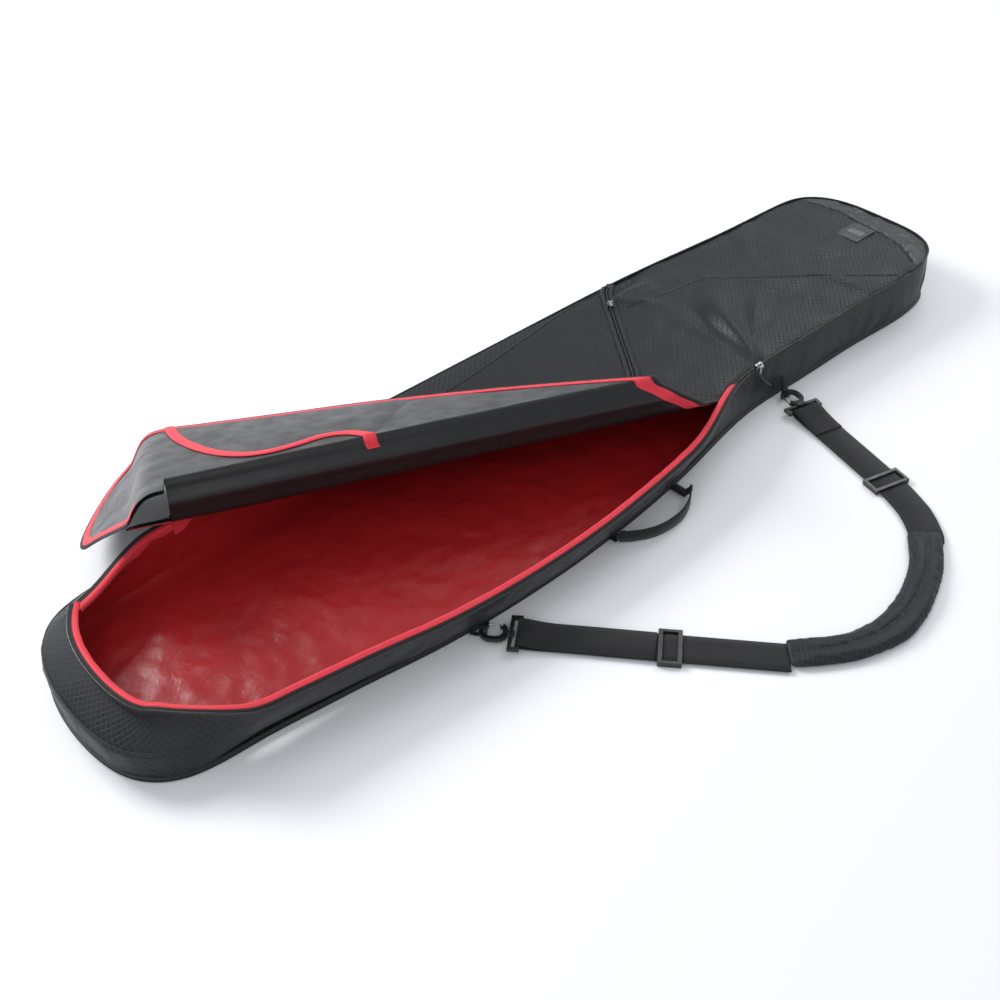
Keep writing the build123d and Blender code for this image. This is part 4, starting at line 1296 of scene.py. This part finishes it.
upper, lower = pad_sheet(True), pad_sheet(False)
pad_rows, pad_columns = upper.shape[:2]
pad_mesh_points = np.vstack([upper.reshape(-1, 3), lower.reshape(-1, 3)])
pad_faces = grid_faces(pad_rows, pad_columns)
shift = pad_rows * pad_columns
pad_faces += [tuple(k + shift for k in f)[::-1] for f in grid_faces(pad_rows, pad_columns)]
pad_border = ([(r, 0) for r in range(pad_rows)] + [(pad_rows - 1, c) for c in range(1, pad_columns)]
              + [(r, pad_columns - 1) for r in range(pad_rows - 2, -1, -1)]
              + [(0, c) for c in range(pad_columns - 2, 0, -1)])
border = [r * pad_columns + c for r, c in pad_border]
for a, b in zip(border, border[1:] + border[:1]):
    pad_faces.append((b, a, a + shift, b + shift))
pad_uv = np.vstack([arc_uv(upper), arc_uv(lower)])


def inflated(piece, voxel, cap):
    """Padded cloth: the closed piece is remeshed, blown up by Cloth, and its swelling is capped."""
    scene = bpy.context.scene
    remesh = piece.modifiers.new("Voxels", "REMESH")
    remesh.mode = "VOXEL"
    remesh.voxel_size = voxel * MM
    remesh.use_smooth_shade = True
    graph = bpy.context.evaluated_depsgraph_get()
    solid = bpy.data.meshes.new_from_object(piece.evaluated_get(graph))
    piece.modifiers.clear()
    piece.data = solid
    before = np.zeros(len(solid.vertices) * 3)
    solid.vertices.foreach_get("co", before)
    cloth = piece.modifiers.new("Cloth", "CLOTH")
    cloth.settings.use_pressure = True
    cloth.settings.uniform_pressure_force = 4.0
    cloth.settings.effector_weights.gravity = 0.0
    cloth.settings.tension_stiffness = 12
    cloth.settings.compression_stiffness = 12
    cloth.point_cache.frame_start = 1
    cloth.point_cache.frame_end = 20
    for number in range(1, 21):
        scene.frame_set(number)
    graph = bpy.context.evaluated_depsgraph_get()
    blown = piece.evaluated_get(graph).to_mesh()
    after = np.zeros(len(before))
    blown.vertices.foreach_get("co", after)
    piece.evaluated_get(graph).to_mesh_clear()
    piece.modifiers.remove(cloth)
    scene.frame_set(1)
    before, after = before.reshape(-1, 3), after.reshape(-1, 3)
    move = after - before
    length = np.linalg.norm(move, axis=1)[:, None]
    move *= np.minimum(1, cap * MM / np.maximum(length, 1e-9))
    return before + move


pad = new_piece("shoulder_pad_cover", pad_mesh_points, pad_faces, pad_uv, "pad", "shell_fabric")
weld = pad.modifiers.new("Weld", "WELD")
weld.merge_threshold = 0.0002
pad_shape = inflated(pad, 4.0, 3.5) / MM
gap = tree_gap(plan_tree(pad_line), pad_shape)
raised = pad_shape[:, 2] > 6.0
pad_shape[:, 2] -= np.where(raised, 2.4 * np.exp(-(gap / 3.0) ** 2), 0)
pad_shape[:, 2] += np.where(raised, 0.7 * swell(pad_shape[:, :2], 16, 123), 0)
pad_shape[:, 2] = np.clip(pad_shape[:, 2], 0.7, 15.5)
pad.data.vertices.foreach_set("co", (pad_shape * MM).ravel())
layer = pad.data.uv_layers.new(name="Cloth")
corner = np.zeros(len(pad.data.loops), int)
pad.data.loops.foreach_get("vertex_index", corner)
layer.data.foreach_set("uv", (pad_shape[corner][:, :2] * MM).ravel())
pad.data.materials.clear()
pad.data.materials.append(MAT["pad"])
pad.data.update()
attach(pad, "strap")
rounding = pad.modifiers.new("Rounding", "SUBSURF")
rounding.levels = 1
rounding.render_levels = 1

tail_path = looped_path(tail_hook, 404, 232, 1.5)
tail_web = ribbon_mesh(tail_path, WEBBING, WEBBING_T, tail_hook.side)
new_piece("strap_webbing_tail", *tail_web, "webbing", "webbing", "strap")

nose_path = looped_path(nose_hook, 284, 112, 1.0)
nose_tip = pad_place(np.array(0.985), np.array(0.0), np.array(STRAP_Z))
nose_start = nose_path[0]
bend_way = (nose_tip - nose_start)
turn_points = [nose_tip + np.array([-15, -12, 0]), nose_tip,
               nose_start + bend_way * 0.5 + np.array([4, -1, 0]), nose_path[3]]
nose_all = np.vstack([curve_through(turn_points, 3.0)[:-1], nose_path[3:]])
flat_way = np.gradient(nose_all, axis=0)
flat_way[:, 2] = 0
flat_len = np.linalg.norm(flat_way, axis=1)[:, None]
side_way = np.column_stack([sideways(flat_way), np.zeros(len(flat_way))]) / np.maximum(flat_len, 1e-6)
reach = np.linalg.norm(nose_all[:, :2] - nose_hook.origin[:2], axis=1)
straight = smooth((290 - reach) / 60)[:, None]
side_way = side_way * (1 - straight) + -nose_hook.side * straight * np.sign(-(side_way[:1] @ nose_hook.side))
nose_web = ribbon_mesh(nose_all, WEBBING, WEBBING_T, side_way)
new_piece("strap_webbing_nose", *nose_web, "webbing", "webbing", "strap")

TAB_TURN = 7.2


def tab_path(hook, lower_end, upper_end):
    """The sewn tab's path round a hook's eye, seen from the side."""
    flat = list(lower_end)
    for angle in range(-90, 100, 20):
        flat.append((TAB_TURN * math.cos(math.radians(angle)), HOOK_Z + TAB_TURN * math.sin(math.radians(angle))))
    flat += list(upper_end)
    return curve_through([hook.place(x, 0, z) for x, z in flat], 1.5)


tail_tab = tab_path(tail_hook, [(-16, 3.9), (-13, 3.7), (-8, 2.9)],
                    [(-5, 14.6), (-9.5, 9.5), (-13, 6.9), (-17, 6.2)])
nose_tab = tab_path(nose_hook, [(-14.4, 24), (-10, 12), (-5, 4.6)], [(-6, 19.2), (-11, 26), (-14.4, 32)])
tabs = joined(ribbon_mesh(tail_tab, 6, 1.4, tail_hook.side, 0.1),
              ribbon_mesh(nose_tab, 6, 1.4, nose_hook.side, 0.1))
new_piece("hook_tabs", *tabs, "narrow", "webbing", "root")

handle_low, handle_high = low_of("carry_handle"), high_of("carry_handle")
handle_t = np.linspace(0, 1, 60)
handle_x = handle_low.x + 1 + (handle_high.x - handle_low.x - 2) * handle_t
handle_depth = handle_high.y - handle_low.y - 3
handle_y = handle_high.y - 1.5 - handle_depth * (1 - np.abs(2 * handle_t - 1) ** 2.4)
handle_z = (handle_low.z + handle_high.z) / 2
handle_path = np.column_stack([handle_x, handle_y, np.full(60, handle_z) + 0.6 * np.sin(handle_t * 9)])
handle_mesh = ribbon_mesh(handle_path, handle_high.z - handle_low.z, 2.4, (0, 0, 1), 0.4)
new_piece("handle_webbing", *handle_mesh, "webbing", "webbing", "carry_handle")
end_tabs = []
for x in (handle_low.x + 4, handle_high.x - 4):
    y = handle_high.y - 1.0
    wall_y = RING[station(x, True), 1]
    end_path = [(x, wall_y + 3, 4.6), (x, (wall_y + y) / 2, 5.2), (x, y + 4, 5.6), (x, y + 0.6, 8.5),
                (x, y, 14.0), (x, y, 21.0)]
    end_tabs.append(ribbon_mesh(curve_through(end_path, 2.0), 16, 1.6, (1, 0, 0), 0.2))
new_piece("handle_tabs", *joined(*end_tabs), "narrow", "webbing", "root")

inner_index = span(station(-150, True), station(10, True))
inner_rows = [(10.4, 57), (11.2, 55), (12.0, 45), (11.2, 34), (10.4, 32)]
swept("inner_strap_tape", rows_grid(inner_index, inner_rows, 1.4, 131), NOSE_LEAN, "binding", "red_binding", 0.9,
      flip=True)


# ------------------------------------------------------------------ CAD parts that stay
SHOWN = {
    "plastic": ["hook_tail", "hook_nose", "hook_loops", "adjuster_tail", "adjuster_nose"],
    "metal": ["main_slider", "main_pull", "pocket_slider", "pocket_pull"],
    "wire": ["gate_tail", "gate_nose"],
    "cord": ["main_pull_cord"],
}
kept = set()
for key, nodes in SHOWN.items():
    for node in nodes:
        kept.add(node)
        thing = frame["nodes"][node]
        thing.data.materials.clear()
        thing.data.materials.append(MAT[key])
        weld = thing.modifiers.new("Weld", "WELD")
        weld.merge_threshold = 0.00002
        if key in ("plastic", "metal"):
            bevel = thing.modifiers.new("Edges", "BEVEL")
            bevel.width = 0.0006 if key == "plastic" else 0.00025
            bevel.segments = 2
            bevel.limit_method = "ANGLE"
            bevel.angle_limit = math.radians(40)

hidden = [node for node in frame["nodes"] if node not in kept]
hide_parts(*hidden)


# ------------------------------------------------------------------ studio
FLOOR_HALF = 14.0
FLOOR_DROP = -0.0004
floor_mesh = bpy.data.meshes.new("StudioFloor")
floor_corners = [(x * FLOOR_HALF, y * FLOOR_HALF, FLOOR_DROP) for x, y in ((-1, -1), (1, -1), (1, 1), (-1, 1))]
floor_mesh.from_pydata(floor_corners, [], [(0, 1, 2, 3)])
floor_mesh.materials.append(Shader("StudioPaper", (0.86, 0.87, 0.89), 0.7).material)
studio_floor = bpy.data.objects.new("StudioFloor", floor_mesh)
bpy.context.scene.collection.objects.link(studio_floor)

world = bpy.data.worlds.new("Studio")
bpy.context.scene.world = world
world.use_nodes = True
sky = world.node_tree.nodes["Background"]
sky.inputs["Color"].default_value = (0.93, 0.95, 1.0, 1)
sky.inputs["Strength"].default_value = 0.62


def area_light(name, place, target, size, power):
    """A square lamp turned to a point."""
    lamp = bpy.data.lights.new(name, "AREA")
    lamp.energy = power
    lamp.size = size
    lamp_object = bpy.data.objects.new(name, lamp)
    bpy.context.scene.collection.objects.link(lamp_object)
    lamp_object.location = place
    lamp_object.rotation_mode = "QUATERNION"
    lamp_object.rotation_quaternion = (Vector(target) - Vector(place)).to_track_quat("-Z", "Y")


area_light("KeyLight", (-0.9, 2.3, 1.9), (0, 0, 0), 1.3, 78)
area_light("FillLight", (-2.4, -1.6, 2.2), (-0.2, -0.1, 0), 2.4, 24)
area_light("NoseLight", (2.2, 0.4, 2.2), (0.5, 0, 0), 1.6, 24)

# The photograph's camera: its angles in degrees, where it looks, and its lens.
AZIMUTH, ELEVATION, ROLL = -41.05, 40.47, -1.71
SENSOR = 36
TARGET = Vector((-0.1435, -0.0355, 0.0))
DISTANCE = 2.0007
turn_a, turn_e = math.radians(AZIMUTH), math.radians(ELEVATION)
back = Vector((math.sin(turn_a) * math.cos(turn_e), -math.cos(turn_a) * math.cos(turn_e), math.sin(turn_e)))
right = (-back).cross(Vector((0, 0, 1))).normalized()
up = right.cross(-back)
roll = math.radians(ROLL)
right_rolled = right * math.cos(roll) + up * math.sin(roll)
up_rolled = up * math.cos(roll) - right * math.sin(roll)
bpy.context.scene.view_settings.view_transform = "Standard"

camera = bpy.data.cameras.new("Camera")
camera.lens = SENSOR * 1.3375
camera.sensor_width = SENSOR
camera_object = bpy.data.objects.new("Camera", camera)
bpy.context.scene.collection.objects.link(camera_object)
turned = Matrix((right_rolled, up_rolled, back)).transposed().to_4x4()
camera_object.matrix_world = Matrix.Translation(TARGET + back * DISTANCE) @ turned
bpy.context.scene.camera = camera_object
